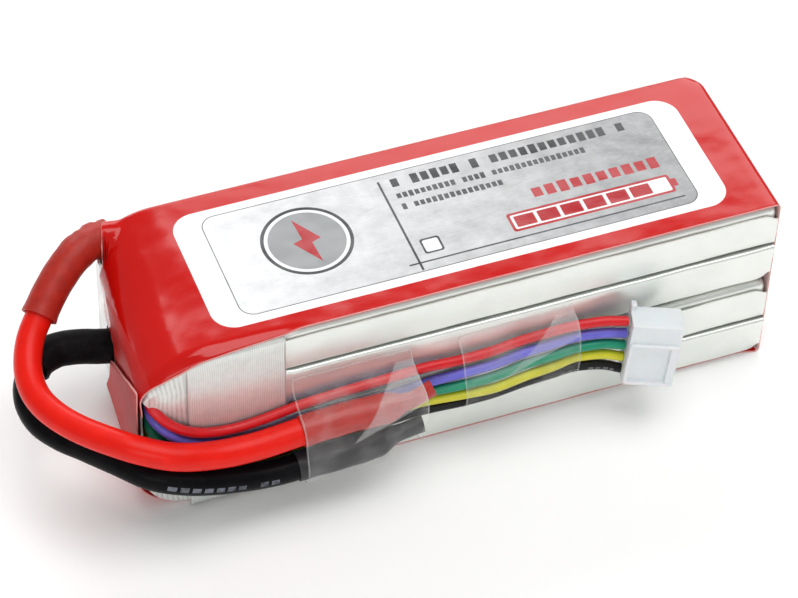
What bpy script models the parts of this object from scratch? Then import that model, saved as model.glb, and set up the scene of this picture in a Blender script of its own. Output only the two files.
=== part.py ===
"""Lithium polymer battery pack with four pouch cells, taped-down main leads and a balance plug.

Frame: X runs along the pack with the leads at -X, Y across it with the leads at -Y, Z up.
The origin is at the middle of the underside. Sizes below are millimetres; the meshes are metres.
"""

import math

import bmesh
import bpy
from mathutils import Matrix, Vector

MM = 0.001

# Overall sizes: the cells set the length, width and height of the pack
CELL_COUNT = 4
CELL_LENGTH = 101.3
CUP_WIDTH = 33.0
CELL_THICKNESS = 8.025

# Pouch cells
CUP_CORNER = 2.0
SEAM_THICKNESS = 0.3
SEAM_SLOT = 0.15
SEAM_HEIGHT = 6.9
SEAM_FOLD = 0.55
TERRACE_LENGTH = 2.0
TERRACE_INSET = 2.0
TERRACE_THICKNESS = 0.35

# Sheets between and around the cells
STACK_GAP = 0.2
PAD_THICKNESS = 0.4
PAD_MARGIN = 3.0
LABEL_THICKNESS = 0.2
LABEL_FRONT_MARGIN = 0.1
LABEL_BACK_MARGIN = 0.3
LABEL_CORNER = 0.6
BAND_LENGTH = 15.45
BAND_THICKNESS = 0.15
BAND_GAP = 0.15
BAND_FOOT = 0.5
BAND_CORNER = 1.0

# Lead end: it stands further out at the front than at the back
END_FRONT = 8.2
END_BACK = 5.8
CURL_HEIGHT = 8.0
SHOE_HEIGHT = 6.0
FLAP_RISE = 12.0
FLAP_TOP_BACK = 12.4
FLAP_BASE_BACK = 8.5
END_WALL = 0.35

# Tabs and board
TAB_WIDTH = 5.0
TAB_THICKNESS = 0.25
TAB_REACH = 0.9
TAB_TURN = 3.0
TAB_OFFSET = 7.5
BOARD_THICKNESS = 0.8
BOARD_FRONT = -9.5
BOARD_BACK = 12.0
BOARD_FOOT = 3.5
BOARD_DROP = 5.6
CARD_THICKNESS = 0.3
CARD_MARGIN = 2.5
JOINT_RADIUS = 1.1
JOINT_HEIGHT = 0.45

# Leads
LEAD_DIAMETER = 4.6
SLEEVE_WALL = 0.3
SLEEVE_LENGTH = 18.0
BLACK_SLEEVE_LENGTH = 15.0
CAP_WALL = 0.3
CAP_TIP_RADIUS = 1.5
LEAD_STEP = 2.6
WIRE_DIAMETER = 1.7
WIRE_STEP = 2.2
CLEARANCE = 0.3
SLIT_HEIGHT = 16.6
SLIT_FOOT = 12.0
SLIT_DEPTH = 1.2

# Balance plug
PIN_COUNT = 5
PIN_PITCH = 2.5
PLUG_LENGTH = 8.6
PLUG_THICKNESS = 5.3
PLUG_MARGIN = 1.2
RIM_LENGTH = 0.9
RIM_REACH = 1.2
RIB_HEIGHT = 0.7
RIB_RISE = 2.2
WINDOW_START = 3.2
WINDOW_LENGTH = 3.4
WINDOW_DEPTH = 0.7
CONTACT_SIZE = 1.3
CONTACT_LENGTH = 6.0

# Clear tapes
TAPE_THICKNESS = 0.15

# Routes chosen by hand, front to back along each cord
RED_ROUTE = [
    (-50.3, 16.1, 31.6), (-53.0, 15.7, 32.0), (-56.0, 14.3, 31.7), (-59.0, 12.4, 30.4),
    (-61.8, 10.2, 28.7), (-64.4, 7.7, 26.7), (-66.8, 5.0, 24.8), (-68.3, 1.8, 23.3),
    (-68.9, -1.6, 22.2), (-68.5, -5.2, 21.5), (-66.8, -9.0, 21.1), (-64.0, -12.9, 20.9),
    (-60.4, -16.6, 20.8), (-56.2, -20.0, 20.5), (-50.9, -22.0, 19.1), (-43.9, -22.2, 17.3),
    (-37.4, -22.2, 16.9), (-31.0, -22.2, 17.5), (-29.6, -22.2, 17.6),
]
RED_CAP_ROUTE = [
    (-29.2, -22.2, 17.6), (-22.4, -22.1, 17.9), (-16.5, -22.0, 17.6), (-13.0, -21.9, 17.5),
    (-10.5, -21.7, 17.8), (-7.4, -21.4, 18.8),
]
BLACK_ROUTE = [
    (-52.9, 6.2, 16.9), (-55.6, 6.8, 17.1), (-58.6, 7.4, 17.5), (-62.4, 7.4, 17.9),
    (-65.9, 5.9, 17.8), (-68.3, 3.0, 17.1), (-69.3, -0.9, 16.3), (-68.6, -4.9, 15.7),
    (-66.4, -8.6, 15.5), (-63.0, -12.3, 15.4), (-59.2, -16.6, 15.3), (-54.7, -20.9, 14.6),
    (-48.4, -22.6, 12.8), (-41.0, -22.7, 10.8), (-34.0, -22.7, 9.9), (-30.6, -22.7, 10.1),
]
BLACK_CAP_ROUTE = [
    (-30.2, -22.7, 10.1), (-20.4, -22.6, 10.3), (-15.5, -22.4, 10.7), (-12.5, -22.2, 11.0),
    (-9.2, -22.2, 11.5),
]
WIRE_ROUTES = {
    "red": [
        (-52.2, -11.0, 26.6), (-52.9, -13.4, 26.3), (-53.2, -15.9, 25.5), (-52.0, -17.6, 24.0),
        (-49.6, -18.3, 21.5), (-46.0, -18.4, 19.2), (-41.0, -18.4, 18.1), (-35.8, -18.4, 18.4),
        (-29.0, -18.4, 19.5), (-22.0, -18.4, 20.0), (-14.0, -18.4, 20.3), (-8.0, -18.4, 20.6),
        (-1.6, -18.4, 20.2), (4.0, -18.4, 20.3), (9.2, -18.4, 21.0), (14.5, -18.4, 21.2),
        (18.5, -18.5, 21.3), (23.5, -19.2, 21.3), (27.4, -20.0, 20.8),
    ],
    "blue": [
        (-52.2, -11.0, 23.4), (-52.9, -13.4, 23.3), (-53.2, -15.9, 23.0), (-52.0, -17.7, 21.6),
        (-49.6, -18.4, 19.0), (-46.0, -18.4, 16.7), (-41.0, -18.4, 14.8), (-35.8, -18.4, 14.2),
        (-29.0, -18.4, 14.8), (-22.0, -18.4, 15.6), (-14.0, -18.4, 16.2), (-8.0, -18.5, 16.9),
        (-1.6, -19.1, 17.7), (4.0, -19.2, 17.9), (9.2, -19.2, 18.8), (14.5, -19.1, 19.0),
        (18.5, -19.0, 19.1), (23.5, -19.6, 18.9), (27.15, -20.25, 18.3),
    ],
    "green": [
        (-52.2, -11.0, 19.8), (-52.9, -13.4, 19.7), (-53.2, -15.9, 19.4), (-52.0, -17.7, 18.3),
        (-49.6, -18.4, 16.3), (-46.0, -18.4, 14.3), (-41.0, -18.4, 12.6), (-35.8, -18.4, 12.1),
        (-29.0, -18.4, 12.7), (-22.0, -18.4, 13.5), (-14.0, -18.4, 14.1), (-8.0, -18.6, 14.7),
        (-1.6, -19.7, 15.5), (4.0, -20.0, 15.9), (9.2, -20.0, 16.8), (14.5, -19.9, 17.0),
        (18.5, -19.6, 17.0), (23.5, -20.0, 16.7), (26.9, -20.5, 15.8),
    ],
    "yellow": [
        (-52.2, -11.0, 16.5), (-52.9, -13.4, 16.4), (-53.2, -15.9, 16.1), (-52.0, -17.7, 15.2),
        (-49.6, -18.4, 13.8), (-46.0, -18.4, 12.2), (-41.0, -18.4, 10.5), (-35.8, -18.4, 10.0),
        (-29.0, -18.4, 10.6), (-22.0, -18.4, 11.4), (-14.0, -18.4, 12.0), (-8.0, -18.6, 12.6),
        (-1.6, -19.9, 13.4), (4.0, -20.7, 13.9), (9.2, -20.7, 14.8), (14.5, -20.3, 14.9),
        (18.5, -19.6, 14.8), (23.5, -20.1, 14.3), (26.65, -20.75, 13.3),
    ],
    "black": [
        (-52.2, -11.0, 13.5), (-52.9, -13.4, 13.4), (-53.2, -15.9, 13.1), (-52.0, -17.7, 12.4),
        (-49.6, -18.4, 11.4), (-46.0, -18.4, 10.0), (-41.0, -18.4, 8.4), (-35.8, -18.4, 7.9),
        (-29.0, -18.4, 8.5), (-22.0, -18.4, 9.3), (-14.0, -18.4, 9.9), (-8.0, -18.5, 10.4),
        (-1.6, -19.6, 11.3), (4.0, -20.1, 11.9), (9.2, -20.1, 12.6), (14.5, -20.0, 12.8),
        (18.5, -19.7, 12.6), (23.5, -20.3, 11.9), (26.4, -21.0, 10.8),
    ],
}

# Places that follow from the sizes above
END_GAP = LABEL_THICKNESS + STACK_GAP
PACK_END = (CELL_LENGTH + END_FRONT + 2 * END_GAP) / 2
CELL_END = PACK_END - END_GAP
CELL_START = CELL_END - CELL_LENGTH
CELL_PITCH = CELL_THICKNESS + PAD_THICKNESS + 2 * STACK_GAP
STACK_FOOT = LABEL_THICKNESS + STACK_GAP
STACK_TOP = STACK_FOOT + (CELL_COUNT - 1) * CELL_PITCH + CELL_THICKNESS
PACK_HEIGHT = STACK_TOP + BAND_GAP + BAND_THICKNESS + STACK_GAP + LABEL_THICKNESS
SEAM_OUTSIDE = CUP_WIDTH / 2 + SEAM_SLOT + SEAM_THICKNESS
BOARD_TOP = PACK_HEIGHT - BOARD_DROP
TERRACE_HALF = CUP_WIDTH / 2 - TERRACE_INSET
LABEL_FRONT = -CUP_WIDTH / 2 - LABEL_FRONT_MARGIN
LABEL_BACK = CUP_WIDTH / 2 + LABEL_BACK_MARGIN
TERRACE_END = CELL_START - TERRACE_LENGTH
TAB_START = TERRACE_END - STACK_GAP
TAB_END = TAB_START - TAB_REACH
BOARD_FACE = TAB_END - STACK_GAP
BOARD_REAR = BOARD_FACE - BOARD_THICKNESS
CARD_FACE = BOARD_REAR - JOINT_HEIGHT - 2 * STACK_GAP
CURL_START = CELL_START - STACK_GAP
WRAP_START = CURL_START - STACK_GAP
SLEEVE_BORE = LEAD_DIAMETER / 2 + CLEARANCE
SLEEVE_RADIUS = SLEEVE_BORE + SLEEVE_WALL
CAP_BORE = LEAD_DIAMETER / 2
CAP_RADIUS = CAP_BORE + CAP_WALL
PLUG_HEIGHT = (PIN_COUNT - 1) * PIN_PITCH + 2 * PLUG_MARGIN

# Colours
FINISHES = {
    "pouch": ((0.72, 0.73, 0.70), 0.3, 1.0),
    "aluminium": ((0.80, 0.80, 0.80), 0.35, 1.0),
    "nickel": ((0.62, 0.60, 0.55), 0.3, 1.0),
    "solder": ((0.70, 0.70, 0.72), 0.25, 1.0),
    "board": ((0.05, 0.22, 0.10), 0.45, 0.0),
    "card": ((0.30, 0.35, 0.32), 0.8, 0.0),
    "pad": ((0.85, 0.85, 0.82), 0.8, 0.0),
    "label": ((0.75, 0.03, 0.02), 0.25, 0.0),
    "strand_tape": ((0.82, 0.83, 0.82), 0.35, 0.0),
    "clear_tape": ((0.85, 0.86, 0.86), 0.15, 0.0),
    "red_silicone": ((0.80, 0.04, 0.02), 0.35, 0.0),
    "red_shrink": ((0.45, 0.04, 0.03), 0.5, 0.0),
    "black_silicone": ((0.01, 0.01, 0.01), 0.4, 0.0),
    "black_shrink": ((0.02, 0.02, 0.02), 0.5, 0.0),
    "red": ((0.70, 0.02, 0.03), 0.35, 0.0),
    "blue": ((0.12, 0.12, 0.60), 0.35, 0.0),
    "green": ((0.00, 0.33, 0.20), 0.35, 0.0),
    "yellow": ((0.75, 0.68, 0.02), 0.35, 0.0),
    "black": ((0.01, 0.01, 0.01), 0.35, 0.0),
    "plug": ((0.85, 0.87, 0.88), 0.4, 0.0),
    "contact": ((0.72, 0.70, 0.66), 0.3, 1.0),
}


def clear_scene():
    for old in list(bpy.data.objects):
        bpy.data.objects.remove(old, do_unlink=True)


def material(name):
    found = bpy.data.materials.get(name)
    if found:
        return found
    colour, roughness, metallic = FINISHES[name]
    made = bpy.data.materials.new(name)
    made.use_nodes = True
    shader = made.node_tree.nodes["Principled BSDF"]
    shader.inputs["Base Color"].default_value = (*colour, 1.0)
    shader.inputs["Roughness"].default_value = roughness
    shader.inputs["Metallic"].default_value = metallic
    return made


def add_object(name, data, finish, cutter=False):
    obj = bpy.data.objects.new(name, data)
    bpy.context.collection.objects.link(obj)
    if cutter:
        obj.hide_render = True
        obj.display_type = "WIRE"
    else:
        data.materials.append(material(finish))
    return obj


def mesh_object(name, shape, finish, cutter=False):
    """Closes a bmesh made in millimetres into an object in metres."""
    bmesh.ops.recalc_face_normals(shape, faces=shape.faces)
    bmesh.ops.scale(shape, vec=(MM, MM, MM), verts=shape.verts)
    data = bpy.data.meshes.new(name)
    shape.to_mesh(data)
    shape.free()
    return add_object(name, data, finish, cutter)


def box(name, low, high, finish, bevel=0.0, place=None, cutter=False):
    """A box between two corners, with its edges rounded by bevel and then moved by place."""
    low, high = Vector(low), Vector(high)
    shape = bmesh.new()
    bmesh.ops.create_cube(shape, size=1.0)
    bmesh.ops.scale(shape, vec=high - low, verts=shape.verts)
    bmesh.ops.translate(shape, vec=(low + high) / 2, verts=shape.verts)
    if bevel:
        bmesh.ops.bevel(
            shape, geom=shape.edges[:], offset=bevel, segments=2, profile=0.5,
            affect="EDGES", material=-1, clamp_overlap=True,
        )
    if place:
        bmesh.ops.transform(shape, matrix=place, verts=shape.verts)
    return mesh_object(name, shape, finish, cutter)


def cylinder(name, start, end, radius, finish="", sides=24, cutter=False):
    """A cylinder between two points."""
    start, end = Vector(start), Vector(end)
    along = end - start
    shape = bmesh.new()
    bmesh.ops.create_cone(
        shape, cap_ends=True, segments=sides, radius1=radius, radius2=radius, depth=along.length
    )
    turn = along.to_track_quat("Z", "Y").to_matrix().to_4x4()
    bmesh.ops.transform(shape, matrix=Matrix.Translation((start + end) / 2) @ turn, verts=shape.verts)
    return mesh_object(name, shape, finish, cutter)


def prism_along_x(name, outline, start, end, finish):
    """Extrudes a (y, z) outline from x = start to x = end."""
    shape = bmesh.new()
    face = shape.faces.new([shape.verts.new((start, y, z)) for y, z in outline])
    grown = bmesh.ops.extrude_face_region(shape, geom=[face])
    moved = [v for v in grown["geom"] if isinstance(v, bmesh.types.BMVert)]
    bmesh.ops.translate(shape, vec=(end - start, 0, 0), verts=moved)
    return mesh_object(name, shape, finish)


def loft(name, rings, finish, cutter=False, closed=False):
    """Grows one face ring by ring; the ends stay closed, or meet each other when closed is set."""
    shape = bmesh.new()
    first = [shape.verts.new(point) for point in rings[0]]
    tip = shape.faces.new(first)
    for ring in rings[1:] + (rings[:1] if closed else []):
        tip = bmesh.ops.extrude_discrete_faces(shape, faces=[tip])["faces"][0]
        for vert, point in zip(tip.verts, ring):
            vert.co = point
    if closed:
        bmesh.ops.delete(shape, geom=[tip], context="FACES_ONLY")
        bmesh.ops.remove_doubles(shape, verts=shape.verts, dist=1e-5)
    else:
        shape.faces.new(first)
    return mesh_object(name, shape, finish, cutter)


def cut(obj, cutter):
    modifier = obj.modifiers.new(cutter.name, "BOOLEAN")
    modifier.operation = "DIFFERENCE"
    modifier.solver = "EXACT"
    modifier.object = cutter


def unite(obj, cutter):
    modifier = obj.modifiers.new(cutter.name, "BOOLEAN")
    modifier.operation = "UNION"
    modifier.solver = "EXACT"
    modifier.object = cutter


def arc(centre, radius, start, end, steps):
    """Points on an arc, in degrees."""
    turns = [math.radians(start + (end - start) * i / steps) for i in range(steps + 1)]
    return [(centre[0] + radius * math.cos(t), centre[1] + radius * math.sin(t)) for t in turns]


# Cords

def smooth_route(route, spacing):
    """A centripetal Catmull-Rom curve through the route, read at even steps."""
    points = [Vector(p) for p in route]
    points = [2 * points[0] - points[1], *points, 2 * points[-1] - points[-2]]
    fine = []
    for a, b, c, d in zip(points, points[1:], points[2:], points[3:]):
        t0 = 0.0
        t1 = t0 + math.sqrt((b - a).length)
        t2 = t1 + math.sqrt((c - b).length)
        t3 = t2 + math.sqrt((d - c).length)
        for step in range(12):
            t = t1 + (t2 - t1) * step / 12
            a1 = a.lerp(b, (t - t0) / (t1 - t0))
            a2 = b.lerp(c, (t - t1) / (t2 - t1))
            a3 = c.lerp(d, (t - t2) / (t3 - t2))
            b1 = a1.lerp(a2, (t - t0) / (t2 - t0))
            b2 = a2.lerp(a3, (t - t1) / (t3 - t1))
            fine.append(b1.lerp(b2, (t - t1) / (t2 - t1)))
    fine.append(points[-2])
    return resample(fine, spacing)


def resample(points, spacing):
    lengths = [0.0]
    for near, far in zip(points, points[1:]):
        lengths.append(lengths[-1] + (far - near).length)
    count = max(2, round(lengths[-1] / spacing))
    even = []
    index = 0
    for step in range(count + 1):
        target = lengths[-1] * step / count
        while index < len(lengths) - 2 and lengths[index + 1] < target:
            index += 1
        share = (target - lengths[index]) / (lengths[index + 1] - lengths[index])
        even.append(points[index].lerp(points[index + 1], min(1.0, share)))
    return even


def tube(name, route, diameter, step, finish, resolution):
    """A cord: a round curve with filled ends along the smooth route."""
    points = smooth_route(route, step)
    data = bpy.data.curves.new(name, "CURVE")
    data.dimensions = "3D"
    data.bevel_depth = diameter / 2 * MM
    data.bevel_resolution = resolution
    data.use_fill_caps = True
    spline = data.splines.new("POLY")
    spline.points.add(len(points) - 1)
    for slot, point in zip(spline.points, points):
        slot.co = (*(point * MM), 1.0)
    return add_object(name, data, finish)


def rings_along(points, radii, sides):
    """Circles round a line of points, each square to the line."""
    rings = []
    side = Vector((0, 0, 1)).cross(points[1] - points[0]).normalized()
    for i, (point, radius) in enumerate(zip(points, radii)):
        along = (points[min(i + 1, len(points) - 1)] - points[max(i - 1, 0)]).normalized()
        side = (side - along * side.dot(along)).normalized()
        rise = along.cross(side)
        turns = [2 * math.pi * k / sides for k in range(sides)]
        rings.append([point + (side * math.cos(t) + rise * math.sin(t)) * radius for t in turns])
    return rings


def hollow_tube(name, points, outer, inner, finish, sides=14, closed_tip=0):
    """A sleeve or, with closed_tip rings left solid at its end, a cap."""
    outside = rings_along(points, outer, sides)
    bore = rings_along(points, inner, sides)
    if closed_tip:
        return loft(name, bore[: len(points) - closed_tip][::-1] + outside, finish)
    return loft(name, outside + bore[::-1], finish, closed=True)


# Cells

def cell_outline(foot, seam_up):
    """One pouch in section: the cup, and a seam strip folded up along each side of it."""
    fold = SEAM_FOLD
    side = CUP_WIDTH / 2
    strip = SEAM_OUTSIDE - SEAM_THICKNESS
    half = [(0.0, 0.0), (SEAM_OUTSIDE - fold, 0.0)]
    half += arc((SEAM_OUTSIDE - fold, fold), fold, -60, 0, 2)
    half += [(SEAM_OUTSIDE, SEAM_HEIGHT), (strip, SEAM_HEIGHT), (strip, fold), (side, fold)]
    half += arc((side - CUP_CORNER, CELL_THICKNESS - CUP_CORNER), CUP_CORNER, 0, 90, 5)
    whole = half + [(-y, z) for y, z in half[:0:-1]]
    if seam_up:
        whole = [(y, CELL_THICKNESS - z) for y, z in whole]
    return [(y, foot + z) for y, z in whole]


def make_cells():
    """Cells 1 to 4 from the top; 1 and 3 have their seams low, 2 and 4 high."""
    for index in range(CELL_COUNT):
        number = index + 1
        foot = STACK_FOOT + (CELL_COUNT - number) * CELL_PITCH
        seam_up = index % 2 == 1
        outline = cell_outline(foot, seam_up)
        cell = prism_along_x(f"cell_{number}", outline, CELL_START, CELL_END, "pouch")
        low = foot + (CELL_THICKNESS - TERRACE_THICKNESS if seam_up else 0.0)
        terrace = box(
            f"terrace_{number}", (TERRACE_END, -TERRACE_HALF, low),
            (CELL_START + 1.0, TERRACE_HALF, low + TERRACE_THICKNESS), "pouch", cutter=True,
        )
        unite(cell, terrace)
        make_tabs(number, low, seam_up)


def make_tabs(number, low, seam_up):
    """The two tabs of a cell, each turned along the board towards the cell's own middle."""
    for sign, kind, finish in ((-1, "negative", "nickel"), (1, "positive", "aluminium")):
        low_y = sign * TAB_OFFSET - TAB_WIDTH / 2
        face = low + (TERRACE_THICKNESS - TAB_THICKNESS) / 2
        top = face + TAB_THICKNESS
        inner = TAB_END + TAB_THICKNESS
        if seam_up:
            tail = face - TAB_TURN
            outline = [(TAB_START, top), (TAB_END, top), (TAB_END, tail), (inner, tail),
                       (inner, face), (TAB_START, face)]
        else:
            rise = face + TAB_TURN
            outline = [(TAB_START, face), (TAB_END, face), (TAB_END, rise), (inner, rise),
                       (inner, top), (TAB_START, top)]
        shape = bmesh.new()
        base = shape.faces.new([shape.verts.new((x, low_y, z)) for x, z in outline])
        grown = bmesh.ops.extrude_face_region(shape, geom=[base])
        moved = [v for v in grown["geom"] if isinstance(v, bmesh.types.BMVert)]
        bmesh.ops.translate(shape, vec=(0, TAB_WIDTH, 0), verts=moved)
        mesh_object(f"tab_{number}_{kind}", shape, finish)


def make_pads():
    """An adhesive pad in each gap between two cells."""
    half = CUP_WIDTH / 2 - PAD_MARGIN
    for index in range(CELL_COUNT - 1):
        top = STACK_FOOT + (CELL_COUNT - 1 - index) * CELL_PITCH - STACK_GAP
        box(
            f"cell_pad_{index + 1}", (CELL_START + PAD_MARGIN, -half, top - PAD_THICKNESS),
            (CELL_END - PAD_MARGIN, half, top), "pad",
        )


# Lead end

def end_face(y):
    """The x of the taped end face, which slants across the pack."""
    share = (y + CUP_WIDTH / 2) / CUP_WIDTH
    return CELL_START - END_FRONT - (END_BACK - END_FRONT) * share


def make_board():
    box("tab_board", (BOARD_REAR, BOARD_FRONT, BOARD_FOOT), (BOARD_FACE, BOARD_BACK, BOARD_TOP), "board")
    card_low = CARD_FACE - CARD_THICKNESS
    box(
        "insulating_card", (card_low, BOARD_FRONT, BOARD_FOOT + CARD_MARGIN),
        (CARD_FACE, BOARD_BACK - CARD_MARGIN, BOARD_TOP - CARD_MARGIN), "card",
    )
    face = BOARD_REAR - STACK_GAP
    spacing = (BOARD_TOP - BOARD_FOOT) / (PIN_COUNT + 1)
    for index in range(PIN_COUNT):
        z = BOARD_TOP - spacing * (index + 1)
        y = BOARD_FRONT + 2 * JOINT_RADIUS
        cylinder(f"wire_joint_{index + 1}", (face, y, z), (face - JOINT_HEIGHT, y, z), JOINT_RADIUS, "solder", 12)
    for colour, route in (("red", RED_ROUTE), ("black", BLACK_ROUTE)):
        y = min(route[0][1], BOARD_BACK - 2.5 * JOINT_RADIUS)
        z = min(route[0][2], BOARD_TOP - 2.5 * JOINT_RADIUS)
        cylinder(
            f"{colour}_lead_joint", (face, y, z), (face - JOINT_HEIGHT, y, z), 2 * JOINT_RADIUS, "solder", 16
        )


def end_ring(turn, inset):
    """A rounded rectangle round the lead end, turn degrees round its curled edges."""
    out = math.sin(math.radians(turn))
    drop = 1 - math.cos(math.radians(turn))
    top = PACK_HEIGHT - LABEL_THICKNESS - 2 * STACK_GAP - inset - CURL_HEIGHT * drop
    foot = LABEL_THICKNESS + STACK_GAP + inset + SHOE_HEIGHT * drop
    half = SEAM_OUTSIDE - inset - 0.8 * drop
    radius = 2.0 + 2.0 * drop
    ring = []
    corners = ((half, top, 0), (-half, top, 90), (-half, foot, 180), (half, foot, 270))
    for y, z, start in corners:
        centre = (y - math.copysign(radius, y), z - radius if z == top else z + radius)
        for yy, zz in arc(centre, radius, start, start + 90, 4):
            reach = WRAP_START - end_face(yy) - inset
            ring.append((WRAP_START - reach * out, yy, zz))
    return ring


def make_end_wrap():
    """The tape cup over the tabs, open towards the cells, with openings for the cords."""
    turns = (0, 20, 40, 58, 74, 86)
    outside = [end_ring(t, 0.0) for t in turns]
    inside = [end_ring(t, END_WALL) for t in turns[::-1]]
    wrap = loft("end_wrap", inside + outside, "strand_tape")
    for name, route in (("red_exit", RED_ROUTE), ("black_exit", BLACK_ROUTE)):
        start, out = Vector(route[0]), Vector(route[2])
        back = (start - out).normalized() * 4 * END_WALL
        cutter = cylinder(name, start + back, out, SLEEVE_RADIUS + 2 * CLEARANCE, sides=20, cutter=True)
        cut(wrap, cutter)
    slit = box(
        "slit", (CELL_START - 12.0, -CUP_WIDTH / 2 - 4.0, SLIT_FOOT),
        (CELL_START - 4.0, -CUP_WIDTH / 2 + SLIT_DEPTH, SLIT_FOOT + SLIT_HEIGHT), "", cutter=True,
    )
    cut(wrap, slit)


# Sheets round the pack

def label_path(y):
    """The label's line at one y, from the flap under the lead end, round the far end, to the curl."""
    reach = CURL_START - end_face(y) + END_GAP
    path = [(CURL_START - reach, FLAP_RISE)]
    for turn in (84, 62, 42, 22):
        t = math.radians(turn)
        path.append((CURL_START - reach * math.sin(t), SHOE_HEIGHT * (1 - math.cos(t))))
    path.append((CURL_START, 0.0))
    path += arc((PACK_END - LABEL_CORNER, LABEL_CORNER), LABEL_CORNER, -90, 0, 3)
    path += arc((PACK_END - LABEL_CORNER, PACK_HEIGHT - LABEL_CORNER), LABEL_CORNER, 0, 90, 3)
    path.append((CURL_START, PACK_HEIGHT))
    for turn in (22, 42, 62, 78):
        t = math.radians(turn)
        path.append((CURL_START - reach * math.sin(t), PACK_HEIGHT - CURL_HEIGHT * (1 - math.cos(t))))
    return path


def make_label():
    """A printed sheet that wraps the pack lengthwise and overlaps the lead end from both sides."""
    columns = [LABEL_FRONT, -8.0, 0.0, FLAP_BASE_BACK, FLAP_TOP_BACK, LABEL_BACK]
    shape = bmesh.new()
    grid = []
    for y in columns:
        grid.append([shape.verts.new((x, y, z)) for x, z in label_path(y)])
    last = len(grid[0]) - 1
    for c in range(len(columns) - 1):
        for i in range(last):
            under_end = i < 5 and columns[c] >= FLAP_BASE_BACK
            over_end = i > last - 5 and columns[c] >= FLAP_TOP_BACK
            if not under_end and not over_end:
                shape.faces.new((grid[c][i], grid[c + 1][i], grid[c + 1][i + 1], grid[c][i + 1]))
    loose = [v for v in shape.verts if not v.link_faces]
    bmesh.ops.delete(shape, geom=loose, context="VERTS")
    bmesh.ops.scale(shape, vec=(MM, MM, MM), verts=shape.verts)
    top = max(shape.faces, key=lambda f: f.calc_center_median().z)
    if top.normal.z < 0:
        bmesh.ops.reverse_faces(shape, faces=shape.faces[:])
    data = bpy.data.meshes.new("label_wrap")
    shape.to_mesh(data)
    shape.free()
    obj = add_object("label_wrap", data, "label")
    wall = obj.modifiers.new("thickness", "SOLIDIFY")
    wall.thickness = LABEL_THICKNESS * MM
    wall.offset = -1.0
    wall.use_even_offset = True


def make_band():
    """Strand tape down both sides and over the top of the cells, under the label."""
    inner = SEAM_OUTSIDE + STACK_GAP
    outer = inner + BAND_THICKNESS
    top = PACK_HEIGHT - LABEL_THICKNESS - STACK_GAP
    centre = (outer - BAND_CORNER, top - BAND_CORNER)
    crown = [(outer, BAND_FOOT), *arc(centre, BAND_CORNER, 0, 90, 3)]
    hollow = arc(centre, BAND_CORNER - BAND_THICKNESS, 90, 0, 3)
    hollow.append((inner, BAND_FOOT))
    outline = crown + [(-y, z) for y, z in crown[::-1]]
    outline += [(-y, z) for y, z in hollow[::-1]] + hollow
    prism_along_x("strand_band", outline, CELL_START, CELL_START + BAND_LENGTH, "strand_tape")


def tape_over(name, section, start, end, climb, finish):
    """Clear tape from the side of the pack, out over the cords and back; climb lifts its far end."""
    rings = []
    for share in (0.0, 0.5, 1.0):
        x = start + (end - start) * share
        outside = [Vector((x, y, z + climb * share)) for y, z in section]
        inside = []
        for i, point in enumerate(outside):
            along = outside[min(i + 1, len(outside) - 1)] - outside[max(i - 1, 0)]
            inward = Vector((0, -along.z, along.y)).normalized()
            inside.append(point + inward * TAPE_THICKNESS)
        rings.append(outside + inside[::-1])
    loft(name, rings, finish)


def make_tapes():
    side = -(SEAM_OUTSIDE + 2 * STACK_GAP + BAND_THICKNESS)
    leads = [
        (side, 24.4), (-18.7, 22.9), (-21.0, 22.0), (-23.6, 21.2), (-25.3, 19.2), (-25.7, 16.0),
        (-26.0, 12.6), (-26.1, 9.8), (-25.0, 7.2), (-21.6, 5.4), (side, 3.6),
    ]
    wires = [
        (side, 23.6), (-19.2, 22.8), (-20.8, 20.6), (-22.0, 17.8), (-22.6, 14.8), (-22.2, 12.0),
        (-20.6, 9.6), (side, 7.8),
    ]
    tape_over("lead_tape", leads, -30.3, -9.5, 0.0, "clear_tape")
    tape_over("wire_tape", wires, -1.6, 18.6, 1.2, "clear_tape")


# Leads and balance wires

def make_leads():
    leads = (
        ("red", RED_ROUTE, RED_CAP_ROUTE, SLEEVE_LENGTH),
        ("black", BLACK_ROUTE, BLACK_CAP_ROUTE, BLACK_SLEEVE_LENGTH),
    )
    for colour, route, cap_route, sleeve_length in leads:
        tube(f"{colour}_lead", route, LEAD_DIAMETER, LEAD_STEP, f"{colour}_silicone", 3)
        sleeve = []
        travelled = 0.0
        path = smooth_route(route, LEAD_STEP)
        for near, far in zip(path, path[1:]):
            sleeve.append(near)
            travelled += (far - near).length
            if travelled > sleeve_length:
                break
        count = len(sleeve)
        hollow_tube(
            f"{colour}_sleeve", sleeve, [SLEEVE_RADIUS] * count, [SLEEVE_BORE] * count,
            f"{colour}_shrink",
        )
        cap = smooth_route(cap_route, 2.0)
        narrow = len(cap) * 3 // 4
        outer = []
        inner = []
        for i in range(len(cap)):
            share = max(0.0, (i - narrow + 1) / (len(cap) - narrow))
            outer.append(CAP_RADIUS + (CAP_TIP_RADIUS - CAP_RADIUS) * min(1.0, 2 * share))
            inner.append(outer[-1] - CAP_WALL)
        hollow_tube(f"{colour}_end_cap", cap, outer, inner, f"{colour}_shrink", closed_tip=2)
        core = [cap[0] + (cap[1] - cap[0]).normalized() * CLEARANCE, *cap[1:narrow]]
        count = len(core)
        rings = rings_along(core, [LEAD_DIAMETER / 2 - 0.8] * count, 10)
        loft(f"{colour}_lead_tip", rings, "solder")


def make_wires():
    for colour, route in WIRE_ROUTES.items():
        tube(f"balance_wire_{colour}", route, WIRE_DIAMETER, WIRE_STEP, colour, 2)


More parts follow.
